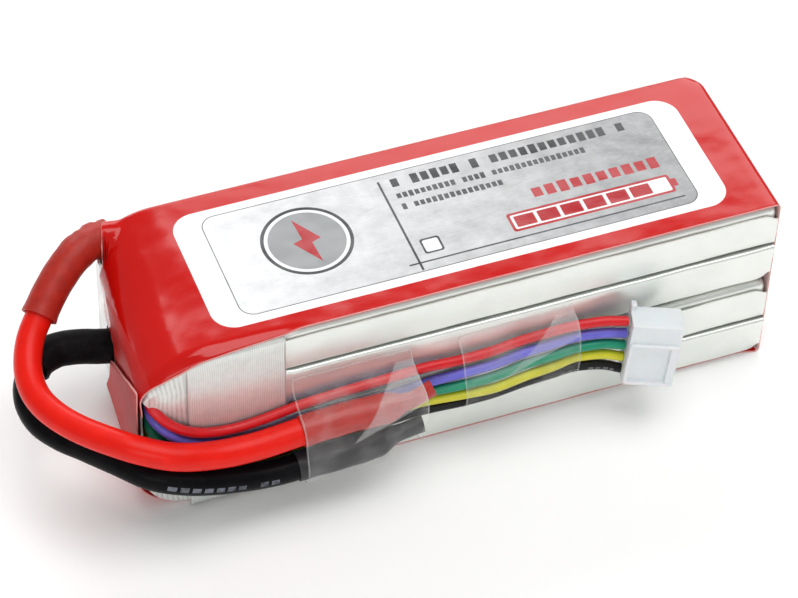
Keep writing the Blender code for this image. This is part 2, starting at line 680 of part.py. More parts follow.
def plug_place():
    """The plug's frame: its own X runs away from the wires, and its Z up the row of pins."""
    entry = Vector(WIRE_ROUTES["green"][-1]) + Vector((CLEARANCE, 0, 0))
    yaw = Matrix.Rotation(math.radians(-18), 4, "Z")
    pitch = Matrix.Rotation(math.radians(6), 4, "Y")
    lean = Matrix.Rotation(math.radians(-5.5), 4, "X")
    return Matrix.Translation(entry) @ yaw @ pitch @ lean


def make_plug():
    place = plug_place()
    half = PLUG_HEIGHT / 2
    wide = PLUG_THICKNESS / 2
    housing = box(
        "plug_housing", (0, -wide, -half), (PLUG_LENGTH, wide, half), "plug", 0.25, place
    )
    rim = box(
        "plug_rim", (0.05, wide - 1.4, -half - RIM_REACH), (RIM_LENGTH, wide - 0.05, half + RIM_REACH),
        "plug", place=place, cutter=True,
    )
    unite(housing, rim)
    for index, centre in enumerate((RIB_RISE, RIB_HEIGHT / 2 + 0.05 - half)):
        rib = box(
            f"plug_rib_{index}", (0.3, -wide - RIB_HEIGHT, centre - RIB_HEIGHT / 2),
            (PLUG_LENGTH - 0.3, -wide + 0.3, centre + RIB_HEIGHT / 2), "plug", place=place, cutter=True,
        )
        unite(housing, rib)
    room = CONTACT_SIZE / 2 + CLEARANCE
    for index in range(PIN_COUNT):
        z = (PIN_COUNT - 1) / 2 * PIN_PITCH - index * PIN_PITCH
        bore = box(
            f"plug_bore_{index}", (-1.0, -room, z - room), (PLUG_LENGTH + 1.0, room, z + room),
            "plug", place=place, cutter=True,
        )
        cut(housing, bore)
        window = box(
            f"plug_window_{index}", (WINDOW_START, wide - WINDOW_DEPTH, z - room + 0.1),
            (WINDOW_START + WINDOW_LENGTH, wide + 1.0, z + room - 0.1), "plug", place=place, cutter=True,
        )
        cut(housing, window)
        start = (PLUG_LENGTH - CONTACT_LENGTH) / 2
        size = CONTACT_SIZE / 2
        box(
            f"crimp_contact_{index + 1}", (start, -size, z - size),
            (start + CONTACT_LENGTH, size, z + size), "contact", 0.15, place,
        )


def build():
    clear_scene()
    make_cells()
    make_pads()
    make_board()
    make_end_wrap()
    make_label()
    make_band()
    make_leads()
    make_wires()
    make_plug()
    make_tapes()
    for obj in bpy.data.objects:
        if obj.type == "MESH" and obj.name.startswith(("red_", "black_")):
            obj.data.shade_smooth()
            obj.data.set_sharp_from_angle(angle=math.radians(40))


build()
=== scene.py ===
import math

import bmesh
import bpy
from mathutils import Matrix, Vector, noise


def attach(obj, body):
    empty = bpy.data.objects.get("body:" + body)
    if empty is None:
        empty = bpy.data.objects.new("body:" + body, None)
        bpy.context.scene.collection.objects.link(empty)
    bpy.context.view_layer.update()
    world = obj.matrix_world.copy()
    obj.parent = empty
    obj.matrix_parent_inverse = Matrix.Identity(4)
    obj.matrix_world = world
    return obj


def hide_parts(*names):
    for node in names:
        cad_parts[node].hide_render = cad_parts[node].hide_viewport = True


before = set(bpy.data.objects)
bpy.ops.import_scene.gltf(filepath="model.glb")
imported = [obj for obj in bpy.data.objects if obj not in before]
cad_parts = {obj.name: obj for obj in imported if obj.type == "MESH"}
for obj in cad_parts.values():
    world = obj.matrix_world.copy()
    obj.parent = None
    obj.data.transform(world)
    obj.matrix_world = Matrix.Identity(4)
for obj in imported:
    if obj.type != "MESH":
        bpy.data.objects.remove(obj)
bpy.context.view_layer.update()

toMetres = 0.001  # pieces are shaped in millimetres and scaled once at the end


# Sizes shared by the pieces, in millimetres

pack = {
    "cellEnd": 54.75, "cellStart": -46.55, "cupHalf": 16.5, "cellThickness": 8.025, "cellPitch": 8.825,
    "stackFoot": 0.4, "height": 35.6, "packEnd": 55.15, "seamOutside": 16.95,
    "curlStart": -46.75, "wrapStart": -46.95, "curlHeight": 8.0, "shoeHeight": 6.0,
    "endFront": 8.2, "endBack": 5.8,
}

filmLook = {"start": -40.3, "bow": 2.2, "gap": 0.4}


# Camera

view = {
    "place": (-0.14511, -0.34402, 0.40985),
    "azimuth": -22.14, "elevation": 46.57, "roll": 2.03,
    "lens": 146.5, "sensor": 36.0,
}


def makeCamera():
    azimuth, elevation, roll = (math.radians(view[k]) for k in ("azimuth", "elevation", "roll"))
    back = Vector((
        math.sin(azimuth) * math.cos(elevation), -math.cos(azimuth) * math.cos(elevation), math.sin(elevation),
    ))
    right = Vector((math.cos(azimuth), math.sin(azimuth), 0.0))
    up = back.cross(right)
    turn = Matrix((right, up, back)).transposed().to_4x4() @ Matrix.Rotation(roll, 4, "Z")
    data = bpy.data.cameras.new("camera")
    data.lens = view["lens"]
    data.sensor_width = view["sensor"]
    camera = bpy.data.objects.new("camera", data)
    bpy.context.collection.objects.link(camera)
    camera.matrix_world = Matrix.Translation(view["place"]) @ turn
    bpy.context.scene.camera = camera


makeCamera()
print("camera ready")


# Shader helpers

def feed(tree, socket, value):
    if isinstance(value, bpy.types.NodeSocket):
        tree.links.new(value, socket)
    else:
        socket.default_value = value


def addNode(tree, kind, sockets=None, **settings):
    node = tree.nodes.new("ShaderNode" + kind)
    for key, value in settings.items():
        setattr(node, key, value)
    for key, value in (sockets or {}).items():
        feed(tree, node.inputs[key], value)
    return node


def calc(tree, operation, first, second=0.0, third=0.0, clamp=False):
    node = addNode(tree, "Math", {0: first, 1: second, 2: third}, operation=operation, use_clamp=clamp)
    return node.outputs[0]


def mixColour(tree, share, low, high):
    node = addNode(tree, "Mix", {0: share}, data_type="RGBA")
    for key, colour in ((6, low), (7, high)):  # the two colour sockets
        feed(tree, node.inputs[key], (*colour, 1.0) if isinstance(colour, tuple) else colour)
    return node.outputs[2]


def startMaterial(name, colour, roughness, metallic=0.0, **constants):
    material = bpy.data.materials.new(name)
    material.use_nodes = True
    tree = material.node_tree
    shader = tree.nodes["Principled BSDF"]
    shader.inputs["Base Color"].default_value = (*colour, 1.0)
    shader.inputs["Roughness"].default_value = roughness
    shader.inputs["Metallic"].default_value = metallic
    for key, value in constants.items():
        shader.inputs[key.replace("_", " ")].default_value = value
    spot = addNode(tree, "TexCoord").outputs["Object"]
    inMm = addNode(tree, "VectorMath", {0: spot, 1: (1 / toMetres,) * 3}, operation="MULTIPLY").outputs[0]
    return material, tree, shader, inMm


def newGroup(name, inputs, outputs):
    tree = bpy.data.node_groups.new(name, "ShaderNodeTree")
    for label, kind, value in inputs:
        socket = tree.interface.new_socket(name=label, in_out="INPUT", socket_type="NodeSocket" + kind)
        socket.default_value = value
    for label, kind in outputs:
        tree.interface.new_socket(name=label, in_out="OUTPUT", socket_type="NodeSocket" + kind)
    return tree, tree.nodes.new("NodeGroupInput").outputs, tree.nodes.new("NodeGroupOutput").inputs


def newMask(name, *labels):
    # a group that turns a few lengths in millimetres into a printed mask
    return newGroup(name, [(label, "Float", 0.0) for label in labels], [("Mask", "Float")])


def useGroup(tree, group, result, **values):
    node = tree.nodes.new("ShaderNodeGroup")
    node.node_tree = group
    for key, value in values.items():
        feed(tree, node.inputs[key], value)
    return node.outputs[result]


# Uneven surface: a coarse dent and a fine grain, put out as a normal
def buildRelief():
    tree, ins, outs = newGroup(
        "surfaceRelief",
        [("Spot", "Vector", (0, 0, 0)), ("Coarse", "Float", 0.3), ("Fine", "Float", 4.0),
         ("FineShare", "Float", 0.3), ("Strength", "Float", 0.3), ("Depth", "Float", 0.0002)],
        [("Normal", "Vector")],
    )
    dents = addNode(tree, "TexNoise", {"Vector": ins["Spot"], "Scale": ins["Coarse"], "Detail": 2.0}).outputs[0]
    grain = addNode(tree, "TexNoise", {"Vector": ins["Spot"], "Scale": ins["Fine"], "Detail": 3.0}).outputs[0]
    height = calc(tree, "ADD", dents, calc(tree, "MULTIPLY", grain, ins["FineShare"]))
    bump = addNode(tree, "Bump", {"Height": height, "Strength": ins["Strength"], "Distance": ins["Depth"]})
    tree.links.new(bump.outputs[0], outs["Normal"])
    return tree


# Blotchy change between two colours, as dust, dye or rubbing leaves it
def buildTint():
    tree, ins, outs = newGroup(
        "patchyTint",
        [("Spot", "Vector", (0, 0, 0)), ("Base", "Color", (1, 1, 1, 1)), ("Other", "Color", (0, 0, 0, 1)),
         ("Size", "Float", 0.3), ("Share", "Float", 0.3)],
        [("Tint", "Color")],
    )
    patch = addNode(tree, "TexNoise", {"Vector": ins["Spot"], "Scale": ins["Size"], "Detail": 4.0}).outputs[0]
    spread = addNode(tree, "MapRange", {0: patch, 1: 0.35, 2: 0.7}).outputs[0]
    share = calc(tree, "MULTIPLY", spread, ins["Share"])
    tree.links.new(mixColour(tree, share, ins["Base"], ins["Other"]), outs["Tint"])
    return tree


# Print: the softness of its edges in millimetres, then a block's half width, the share of gaps and the lowest block
printLook = {"softEdge": 0.07, "blockHalf": 0.36, "gapShare": 0.14, "lowBlock": 0.72}


# A printed rounded rectangle, 1 inside and 0 outside
def buildPrintedBox():
    tree, ins, outs = newMask("printedBox", "X", "Y", "CentreX", "CentreY", "HalfWidth", "HalfHeight", "Corner")
    reach = []
    for axis, centre, half in (("X", "CentreX", "HalfWidth"), ("Y", "CentreY", "HalfHeight")):
        away = calc(tree, "ABSOLUTE", calc(tree, "SUBTRACT", ins[axis], ins[centre]))
        reach.append(calc(tree, "SUBTRACT", away, calc(tree, "SUBTRACT", ins[half], ins["Corner"])))
    outside = [calc(tree, "MAXIMUM", r, 0.0) for r in reach]
    squares = [calc(tree, "MULTIPLY", r, r) for r in outside]
    far = calc(tree, "SQRT", calc(tree, "ADD", *squares))
    near = calc(tree, "MINIMUM", calc(tree, "MAXIMUM", *reach), 0.0)
    gap = calc(tree, "SUBTRACT", calc(tree, "ADD", far, near), ins["Corner"])
    mask = calc(tree, "SUBTRACT", 0.5, calc(tree, "DIVIDE", gap, printLook["softEdge"]), clamp=True)
    tree.links.new(mask, outs["Mask"])
    return tree


# A row of plain printed blocks with gaps between words
def buildBlockRow():
    tree, ins, outs = newMask("blockRow", "X", "Y", "Start", "End", "Row", "HalfHeight", "Pitch", "Seed")
    along = calc(tree, "DIVIDE", calc(tree, "SUBTRACT", ins["X"], ins["Start"]), ins["Pitch"])
    cell = calc(tree, "FLOOR", along)
    share = calc(tree, "FRACT", along)
    lot = addNode(
        tree, "TexWhiteNoise", {"W": calc(tree, "ADD", cell, ins["Seed"])}, noise_dimensions="1D",
    ).outputs[0]
    width = calc(tree, "ABSOLUTE", calc(tree, "SUBTRACT", share, 0.5))
    block = calc(tree, "LESS_THAN", width, printLook["blockHalf"])
    filled = calc(tree, "GREATER_THAN", lot, printLook["gapShare"])
    low = printLook["lowBlock"]
    tall = calc(tree, "MULTIPLY", ins["HalfHeight"], calc(tree, "ADD", low, calc(tree, "MULTIPLY", lot, 1 - low)))
    level = calc(tree, "ABSOLUTE", calc(tree, "SUBTRACT", ins["Y"], ins["Row"]))
    mask = calc(tree, "MULTIPLY", block, filled)
    for test in (
        calc(tree, "LESS_THAN", level, tall),
        calc(tree, "GREATER_THAN", ins["X"], ins["Start"]),
        calc(tree, "LESS_THAN", ins["X"], ins["End"]),
    ):
        mask = calc(tree, "MULTIPLY", mask, test)
    tree.links.new(mask, outs["Mask"])
    return tree


# A printed spike: full width at its foot, a point at its tip
def buildSpike():
    tree, ins, outs = newMask("printedSpike", "X", "Y", "FootX", "FootY", "Turn", "Length", "HalfWidth")
    offX = calc(tree, "SUBTRACT", ins["X"], ins["FootX"])
    offY = calc(tree, "SUBTRACT", ins["Y"], ins["FootY"])
    cosine = calc(tree, "COSINE", ins["Turn"])
    sine = calc(tree, "SINE", ins["Turn"])
    along = calc(tree, "ADD", calc(tree, "MULTIPLY", offX, cosine), calc(tree, "MULTIPLY", offY, sine))
    across = calc(tree, "SUBTRACT", calc(tree, "MULTIPLY", offY, cosine), calc(tree, "MULTIPLY", offX, sine))
    left = calc(tree, "SUBTRACT", 1.0, calc(tree, "DIVIDE", along, ins["Length"]))
    room = calc(tree, "SUBTRACT", calc(tree, "MULTIPLY", left, ins["HalfWidth"]), calc(tree, "ABSOLUTE", across))
    mask = calc(tree, "ADD", calc(tree, "DIVIDE", room, printLook["softEdge"]), 0.5, clamp=True)
    mask = calc(tree, "MULTIPLY", mask, calc(tree, "GREATER_THAN", along, 0.0))
    tree.links.new(mask, outs["Mask"])
    return tree


relief = buildRelief()
patchyTint = buildTint()
printedBox = buildPrintedBox()
blockRow = buildBlockRow()
printedSpike = buildSpike()


def addRelief(tree, shader, inMm, coarse, fine, fineShare, strength, depth):
    normal = useGroup(
        tree, relief, "Normal",
        Spot=inMm, Coarse=coarse, Fine=fine, FineShare=fineShare, Strength=strength, Depth=depth,
    )
    tree.links.new(normal, shader.inputs["Normal"])


def addTint(tree, shader, inMm, base, other, size, share):
    tint = useGroup(
        tree, patchyTint, "Tint", Spot=inMm, Base=(*base, 1.0), Other=(*other, 1.0), Size=size, Share=share,
    )
    tree.links.new(tint, shader.inputs["Base Color"])
    return tint


def patchyMaterial(name, base, other, roughness, metallic, patches, grain, **constants):
    # patches: size and share; grain: coarse, fine, share of the fine, strength, depth
    material, tree, shader, inMm = startMaterial(name, base, roughness, metallic, **constants)
    addTint(tree, shader, inMm, base, other, *patches)
    addRelief(tree, shader, inMm, *grain)
    return material


# Shaping helpers

def finishMesh(name, body, material, smoothAngle=40.0, recalc=True):
    if recalc:
        bmesh.ops.recalc_face_normals(body, faces=body.faces)
    bmesh.ops.scale(body, vec=(toMetres,) * 3, verts=body.verts)
    data = bpy.data.meshes.new(name)
    body.to_mesh(data)
    body.free()
    data.materials.append(material)
    data.shade_smooth()
    data.set_sharp_from_angle(angle=math.radians(smoothAngle))
    piece = bpy.data.objects.new(name, data)
    bpy.context.collection.objects.link(piece)
    return piece


def fit(piece, slotName, *nodes):
    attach(piece, "root")
    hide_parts(*nodes)


def arc(centre, radius, start, end, steps):
    turns = [math.radians(start + (end - start) * i / steps) for i in range(steps + 1)]
    return [(centre[0] + radius * math.cos(t), centre[1] + radius * math.sin(t)) for t in turns]


def smoothStep(low, high, value):
    share = min(1.0, max(0.0, (value - low) / (high - low)))
    return share * share * (3 - 2 * share)


def endFace(y):
    # where the closed lead end lies, a little slanted across the pack
    share = (y + pack["cupHalf"]) / (2 * pack["cupHalf"])
    return pack["cellStart"] - pack["endFront"] - (pack["endBack"] - pack["endFront"]) * share


def filmStart(y):
    # where the film begins to bend down over the lead end, later at the two edges
    return filmLook["start"] - filmLook["bow"] * (y / pack["cupHalf"]) ** 2


def filmHeight(x, y):
    reach = filmStart(y) - endFace(y) + filmLook["gap"]
    share = min(1.0, max(0.0, (filmStart(y) - x) / reach))
    return pack["height"] - pack["curlHeight"] * (1 - math.sqrt(1 - share * share))


def readTable(table, value):
    # straight lines between (place, size) pairs in rising order
    for (lowAt, low), (highAt, high) in zip(table, table[1:]):
        if value <= highAt:
            share = min(1.0, max(0.0, (value - lowAt) / (highAt - lowAt)))
            return low + (high - low) * share
    return table[-1][1]


def growRings(body, tip, rings):
    # tip is a face with as many corners as a ring; it is drawn out ring by ring and ends as the last cap
    marks = {}
    for index, ring in enumerate(rings):
        if index:
            tip = bmesh.ops.extrude_discrete_faces(body, faces=[tip])["faces"][0]
        for corner, (vert, point) in enumerate(zip(tip.verts, ring)):
            vert.co = point
            marks[vert] = (index, corner)
    return tip, marks


def startFace(body, sides):
    bmesh.ops.create_circle(body, cap_ends=True, segments=sides, radius=1.0)
    body.faces.ensure_lookup_table()
    return body.faces[-1]


def solidFromRings(name, rings, material, smoothAngle=40.0, ring=False):
    # ring=True joins the last outline to the first, which makes a sleeve or a cup with a wall
    body = bmesh.new()
    tip = startFace(body, len(rings[0]))
    first = list(tip.verts)
    tip, marks = growRings(body, tip, rings + (rings[:1] if ring else []))
    if ring:
        bmesh.ops.delete(body, geom=[tip], context="FACES_ONLY")
        bmesh.ops.remove_doubles(body, verts=body.verts, dist=1e-5)
    else:
        body.faces.new(first)
    return finishMesh(name, body, material, smoothAngle)


def sheetFromGrid(name, stepsU, stepsV, place, wall, material, inside, smoothAngle=50.0):
    # a grid bent into shape by place(u, v), facing away from the point inside, with a wall of its own
    body = bmesh.new()
    uvs = body.loops.layers.uv.new("UVMap")
    bmesh.ops.create_grid(body, x_segments=stepsU, y_segments=stepsV, size=0.5)
    spots = {v: (v.co.x + 0.5, v.co.y + 0.5) for v in body.verts}
    for face in body.faces:
        for loop in face.loops:
            loop[uvs].uv = spots[loop.vert]
    for vert, (u, v) in spots.items():
        vert.co = place(u, v)
    body.normal_update()
    facing = sum(f.normal.dot(f.calc_center_median() - Vector(inside)) * f.calc_area() for f in body.faces)
    if facing < 0:
        bmesh.ops.reverse_faces(body, faces=body.faces[:])
    piece = finishMesh(name, body, material, smoothAngle, recalc=False)
    thick = piece.modifiers.new("wall", "SOLIDIFY")
    thick.thickness = wall * toMetres
    thick.offset = -1.0
    return piece


def smoothRoute(route, spacing, steps=12):
    # a round curve through the route's points, read at even spaces
    points = [Vector(p) for p in route]
    points = [2 * points[0] - points[1], *points, 2 * points[-1] - points[-2]]
    fine = []
    for a, b, c, d in zip(points, points[1:], points[2:], points[3:]):
        t1 = math.sqrt((b - a).length)
        t2 = t1 + math.sqrt((c - b).length)
        t3 = t2 + math.sqrt((d - c).length)
        for step in range(steps):
            t = t1 + (t2 - t1) * step / steps
            a1 = a.lerp(b, t / t1)
            a2 = b.lerp(c, (t - t1) / (t2 - t1))
            a3 = c.lerp(d, (t - t2) / (t3 - t2))
            b1 = a1.lerp(a2, t / t2)
            b2 = a2.lerp(a3, (t - t1) / (t3 - t1))
            fine.append(b1.lerp(b2, (t - t1) / (t2 - t1)))
    fine.append(points[-2])
    return spaceOut(fine, spacing)


def spaceOut(points, spacing):
    lengths = [0.0]
    for near, far in zip(points, points[1:]):
        lengths.append(lengths[-1] + (far - near).length)
    count = max(2, round(lengths[-1] / spacing))
    even = []
    index = 0
    for step in range(count + 1):
        target = lengths[-1] * step / count
        while index < len(lengths) - 2 and lengths[index + 1] < target:
            index += 1
        share = (target - lengths[index]) / (lengths[index + 1] - lengths[index])
        even.append(points[index].lerp(points[index + 1], min(1.0, share)))
    return even


def lengthOf(points):
    return sum((b - a).length for a, b in zip(points, points[1:]))


def ringsAlong(points, size, sides):
    # size(index, turn) gives the reach across and up at that turn round the line
    rings = []
    side = Vector((0, 0, 1)).cross(points[1] - points[0]).normalized()
    for index, point in enumerate(points):
        along = (points[min(index + 1, len(points) - 1)] - points[max(index - 1, 0)]).normalized()
        side = (side - along * side.dot(along)).normalized()
        rise = along.cross(side)
        ring = []
        for k in range(sides):
            turn = 2 * math.pi * k / sides
            across, up = size(index, turn)
            ring.append(point + side * math.cos(turn) * across + rise * math.sin(turn) * up)
        rings.append(ring)
    return rings


def cordTube(name, points, radius, sides, material, wobble=0.0):
    body = bmesh.new()
    uvs = body.loops.layers.uv.new("UVMap")
    first = startFace(body, sides)
    start = list(first.verts)

    def size(index, turn):
        change = wobble * noise.noise(points[index] * 0.25 + Vector((math.cos(turn), math.sin(turn), 0)))
        return radius + change, radius + change

    tip, marks = growRings(body, first, ringsAlong(points, size, sides))
    body.faces.new(start)
    step = lengthOf(points) / (len(points) - 1)
    for face in body.faces:
        corners = [marks[v][1] for v in face.verts if v in marks]
        wraps = max(corners) - min(corners) > sides / 2
        for loop in face.loops:
            ring, corner = marks[loop.vert]
            corner = sides if wraps and corner == 0 else corner
            loop[uvs].uv = (ring * step * toMetres, corner / sides)
    return finishMesh(name, body, material, 60.0)


def applyModifiers(piece):
    bpy.context.view_layer.update()
    shaped = bpy.data.meshes.new_from_object(piece.evaluated_get(bpy.context.evaluated_depsgraph_get()))
    piece.modifiers.clear()
    piece.data = shaped


def carve(piece, cutters, operation="DIFFERENCE"):
    for cutter in cutters:
        knife = piece.modifiers.new(cutter.name, "BOOLEAN")
        knife.operation = operation
        knife.solver = "EXACT"
        knife.object = cutter
    applyModifiers(piece)
    for cutter in cutters:
        bpy.data.objects.remove(cutter, do_unlink=True)


def roundedBox(name, low, high, bevel, material, place=None, segments=3):
    low, high = Vector(low), Vector(high)
    body = bmesh.new()
    bmesh.ops.create_cube(body, size=1.0)
    bmesh.ops.scale(body, vec=high - low, verts=body.verts)
    bmesh.ops.translate(body, vec=(low + high) / 2, verts=body.verts)
    if bevel:
        bmesh.ops.bevel(
            body, geom=body.edges[:], offset=bevel, segments=segments, profile=0.5, affect="EDGES", material=-1,
        )
    if place:
        bmesh.ops.transform(body, matrix=place, verts=body.verts)
    return finishMesh(name, body, material)


# Leads and wires

routes = {
    "redLead": [
        (-50.3, 16.1, 31.6), (-53.0, 15.7, 32.0), (-56.0, 14.3, 31.7), (-59.0, 12.4, 30.4),
        (-61.8, 10.2, 28.7), (-64.4, 7.7, 26.7), (-66.8, 5.0, 24.8), (-68.3, 1.8, 23.3),
        (-68.9, -1.6, 22.2), (-68.5, -5.2, 21.5), (-66.8, -9.0, 21.1), (-64.0, -12.9, 20.9),
        (-60.4, -16.6, 20.8), (-56.2, -20.0, 20.5), (-50.9, -22.0, 19.1), (-43.9, -22.2, 17.3),
        (-37.4, -22.2, 16.9), (-31.0, -22.2, 17.5), (-29.6, -22.2, 17.6),
    ],
    "redCap": [
        (-29.2, -22.2, 17.6), (-22.4, -22.1, 17.9), (-16.5, -22.0, 17.6), (-13.0, -21.9, 17.5),
        (-10.5, -21.7, 17.8), (-7.4, -21.4, 18.8),
    ],
    "blackLead": [
        (-52.9, 6.2, 16.9), (-55.6, 6.8, 17.1), (-58.6, 7.4, 17.5), (-62.4, 7.4, 17.9),
        (-65.9, 5.9, 17.8), (-68.3, 3.0, 17.1), (-69.3, -0.9, 16.3), (-68.6, -4.9, 15.7),
        (-66.4, -8.6, 15.5), (-63.0, -12.3, 15.4), (-59.2, -16.6, 15.3), (-54.7, -20.9, 14.6),
        (-48.4, -22.6, 12.8), (-41.0, -22.7, 10.8), (-34.0, -22.7, 9.9), (-30.6, -22.7, 10.1),
    ],
    "blackCap": [
        (-30.2, -22.7, 10.1), (-20.4, -22.6, 10.3), (-15.5, -22.4, 10.7), (-12.5, -22.2, 11.0),
        (-9.2, -22.2, 11.5),
    ],
}

# The wires pass the same places along the pack; each has its own way across (y) and up (z), and its own end
wireStations = [
    -52.2, -52.9, -53.2, -52.0, -49.6, -46.0, -41.0, -35.8, -29.0, -22.0, -14.0, -8.0, -1.6, 4.0, 9.2, 14.5, 18.5, 23.5,
]
wireStart = [-11.0, -13.4, -15.9]
wireWays = {
    "red": (27.4, [-17.6, -18.3, *[-18.4] * 11, -18.5, -19.2, -20.0], [
        26.6, 26.3, 25.5, 24.0, 21.5, 19.2, 18.1, 18.4, 19.5, 20.0,
        20.3, 20.6, 20.2, 20.3, 21.0, 21.2, 21.3, 21.3, 20.8,
    ]),
    "blue": (27.15, [-17.7, *[-18.4] * 7, -18.5, -19.1, -19.2, -19.2, -19.1, -19.0, -19.6, -20.25], [
        23.4, 23.3, 23.0, 21.6, 19.0, 16.7, 14.8, 14.2, 14.8, 15.6,
        16.2, 16.9, 17.7, 17.9, 18.8, 19.0, 19.1, 18.9, 18.3,
    ]),
    "green": (26.9, [-17.7, *[-18.4] * 7, -18.6, -19.7, -20.0, -20.0, -19.9, -19.6, -20.0, -20.5], [
        19.8, 19.7, 19.4, 18.3, 16.3, 14.3, 12.6, 12.1, 12.7, 13.5,
        14.1, 14.7, 15.5, 15.9, 16.8, 17.0, 17.0, 16.7, 15.8,
    ]),
    "yellow": (26.65, [-17.7, *[-18.4] * 7, -18.6, -19.9, -20.7, -20.7, -20.3, -19.6, -20.1, -20.75], [
        16.5, 16.4, 16.1, 15.2, 13.8, 12.2, 10.5, 10.0, 10.6, 11.4,
        12.0, 12.6, 13.4, 13.9, 14.8, 14.9, 14.8, 14.3, 13.3,
    ]),
    "black": (26.4, [-17.7, *[-18.4] * 7, -18.5, -19.6, -20.1, -20.1, -20.0, -19.7, -20.3, -21.0], [
        13.5, 13.4, 13.1, 12.4, 11.4, 10.0, 8.4, 7.9, 8.5, 9.3, 9.9, 10.4, 11.3, 11.9, 12.6, 12.8, 12.6, 11.9, 10.8,
    ]),
}
wireRoutes = {
    colour: list(zip([*wireStations, end], wireStart + across, up)) for colour, (end, across, up) in wireWays.items()
}

leadLook = {
    "diameter": 4.6, "sides": 32, "spacing": 0.9,
    "red": (0.83, 0.012, 0.005), "redOther": (0.70, 0.008, 0.004),
    "black": (0.004, 0.004, 0.005), "blackOther": (0.01, 0.01, 0.012),
    "roughness": 0.33, "print": (0.17, 0.18, 0.21),
    "printStart": 49.0, "printEnd": 68.0, "printPitch": 1.9, "redShine": 0.22, "blackShine": 0.06,
}


def siliconeMaterial(name, base, other, shine, printed=None):
    material, tree, shader, inMm = startMaterial(
        name, base, leadLook["roughness"], 0.0, Specular_IOR_Level=shine,
    )
    tint = addTint(tree, shader, inMm, base, other, 0.35, 0.6)
    addRelief(tree, shader, inMm, 0.5, 5.0, 0.25, 0.2, 0.0001)
    if printed:
        uv = addNode(tree, "TexCoord").outputs["UV"]
        parts = addNode(tree, "SeparateXYZ", {0: uv}).outputs
        along = calc(tree, "MULTIPLY", parts[0], 1 / toMetres)
        turn = calc(tree, "MULTIPLY", parts[1], 100.0)  # hundredths of a turn
        mask = useGroup(
            tree, blockRow, "Mask", X=along, Y=turn, Start=printed["start"], End=printed["end"],
            Row=printed["turn"], HalfHeight=printed["height"], Pitch=printed["pitch"], Seed=printed["seed"],
        )
        worn = addNode(tree, "TexNoise", {"Vector": inMm, "Scale": 0.9, "Detail": 2.0}).outputs[0]
        mask = calc(tree, "MULTIPLY", mask, addNode(tree, "MapRange", {0: worn, 1: 0.2, 2: 0.6}).outputs[0])
        tree.links.new(mixColour(tree, mask, tint, printed["colour"]), shader.inputs["Base Color"])
    return material


def makeLeads():
    pieces = {}
    for colour in ("red", "black"):
        printed = None
        if colour == "black":
            printed = {
                "start": leadLook["printStart"], "end": leadLook["printEnd"], "turn": 42.0, "height": 3.6,
                "pitch": leadLook["printPitch"], "seed": 5.0, "colour": leadLook["print"],
            }
        material = siliconeMaterial(
            colour + "Silicone", leadLook[colour], leadLook[colour + "Other"], leadLook[colour + "Shine"], printed,
        )
        points = smoothRoute(routes[colour + "Lead"], leadLook["spacing"])
        lead = cordTube(colour + "Lead", points, leadLook["diameter"] / 2, leadLook["sides"], material, 0.03)
        fit(lead, colour + "_silicone", colour + "_lead")
        pieces[colour] = (lead, points)
    return pieces


sleeveLook = {
    "bore": 2.6, "wall": 0.3, "redLength": 18.0, "blackLength": 15.0, "sides": 36, "spacing": 0.7,
    "creases": [(1.4, 0.5), (2.9, 0.6), (4.6, 0.45), (7.4, 0.16)],
    "red": (0.44, 0.022, 0.012), "redOther": (0.26, 0.012, 0.008),
    "black": (0.005, 0.005, 0.006), "blackOther": (0.015, 0.015, 0.016),
}


def shrinkMaterial(name, look, colour, shine, roughness=0.42):
    return patchyMaterial(
        name, look[colour], look[colour + "Other"], roughness, 0.0, (0.5, 0.55), (0.7, 6.0, 0.35, 0.45, 0.0002),
        Specular_IOR_Level=shine,
    )


def makeSleeves(shrinks):
    pieces = {}
    for colour in ("red", "black"):
        points = smoothRoute(routes[colour + "Lead"], sleeveLook["spacing"])
        count = round(sleeveLook[colour + "Length"] / sleeveLook["spacing"]) + 1
        points = points[:count]
        outer = sleeveLook["bore"] + sleeveLook["wall"]

        def size(index, turn):
            at = index * sleeveLook["spacing"]
            fold = 0.0
            if colour == "red":
                for place, depth in sleeveLook["creases"]:
                    lean = place + 0.5 * math.sin(turn * 2 + place)
                    fold -= depth * math.exp(-((at - lean) / 0.5) ** 2) * (0.5 + 0.5 * math.cos(turn + 2.6))
                fold += 0.6 * math.exp(-((at / 6.0) ** 2)) * (0.5 + 0.5 * math.cos(turn + 2.6))
            fold += 0.05 * noise.noise(Vector((at * 0.6, math.cos(turn) * 2, math.sin(turn) * 2)))
            lip = 0.14 * smoothStep(count - 3, count - 1, index)
            reach = max(sleeveLook["bore"] + 0.12, outer + fold + lip)
            return reach, reach

        def bore(index, turn):
            return sleeveLook["bore"] - 0.04, sleeveLook["bore"] - 0.04

        outside = ringsAlong(points, size, sleeveLook["sides"])
        inside = ringsAlong(points, bore, sleeveLook["sides"])
        sleeve = solidFromRings(colour + "Sleeve", outside + inside[::-1], shrinks[colour], 50.0, ring=True)
        fit(sleeve, colour + "_shrink", colour + "_sleeve")
        pieces[colour] = sleeve
    return pieces


capLook = {
    "bore": 2.3, "wall": 0.3, "sides": 36, "spacing": 0.7, "flatStart": 0.62, "flatEnd": 0.82,
    "overlap": 1.1,
    "tipAcross": 0.95, "tipUp": 1.95,
    "red": (0.47, 0.02, 0.012), "redOther": (0.36, 0.015, 0.009),
    "black": (0.03, 0.03, 0.032), "blackOther": (0.05, 0.05, 0.053),
}


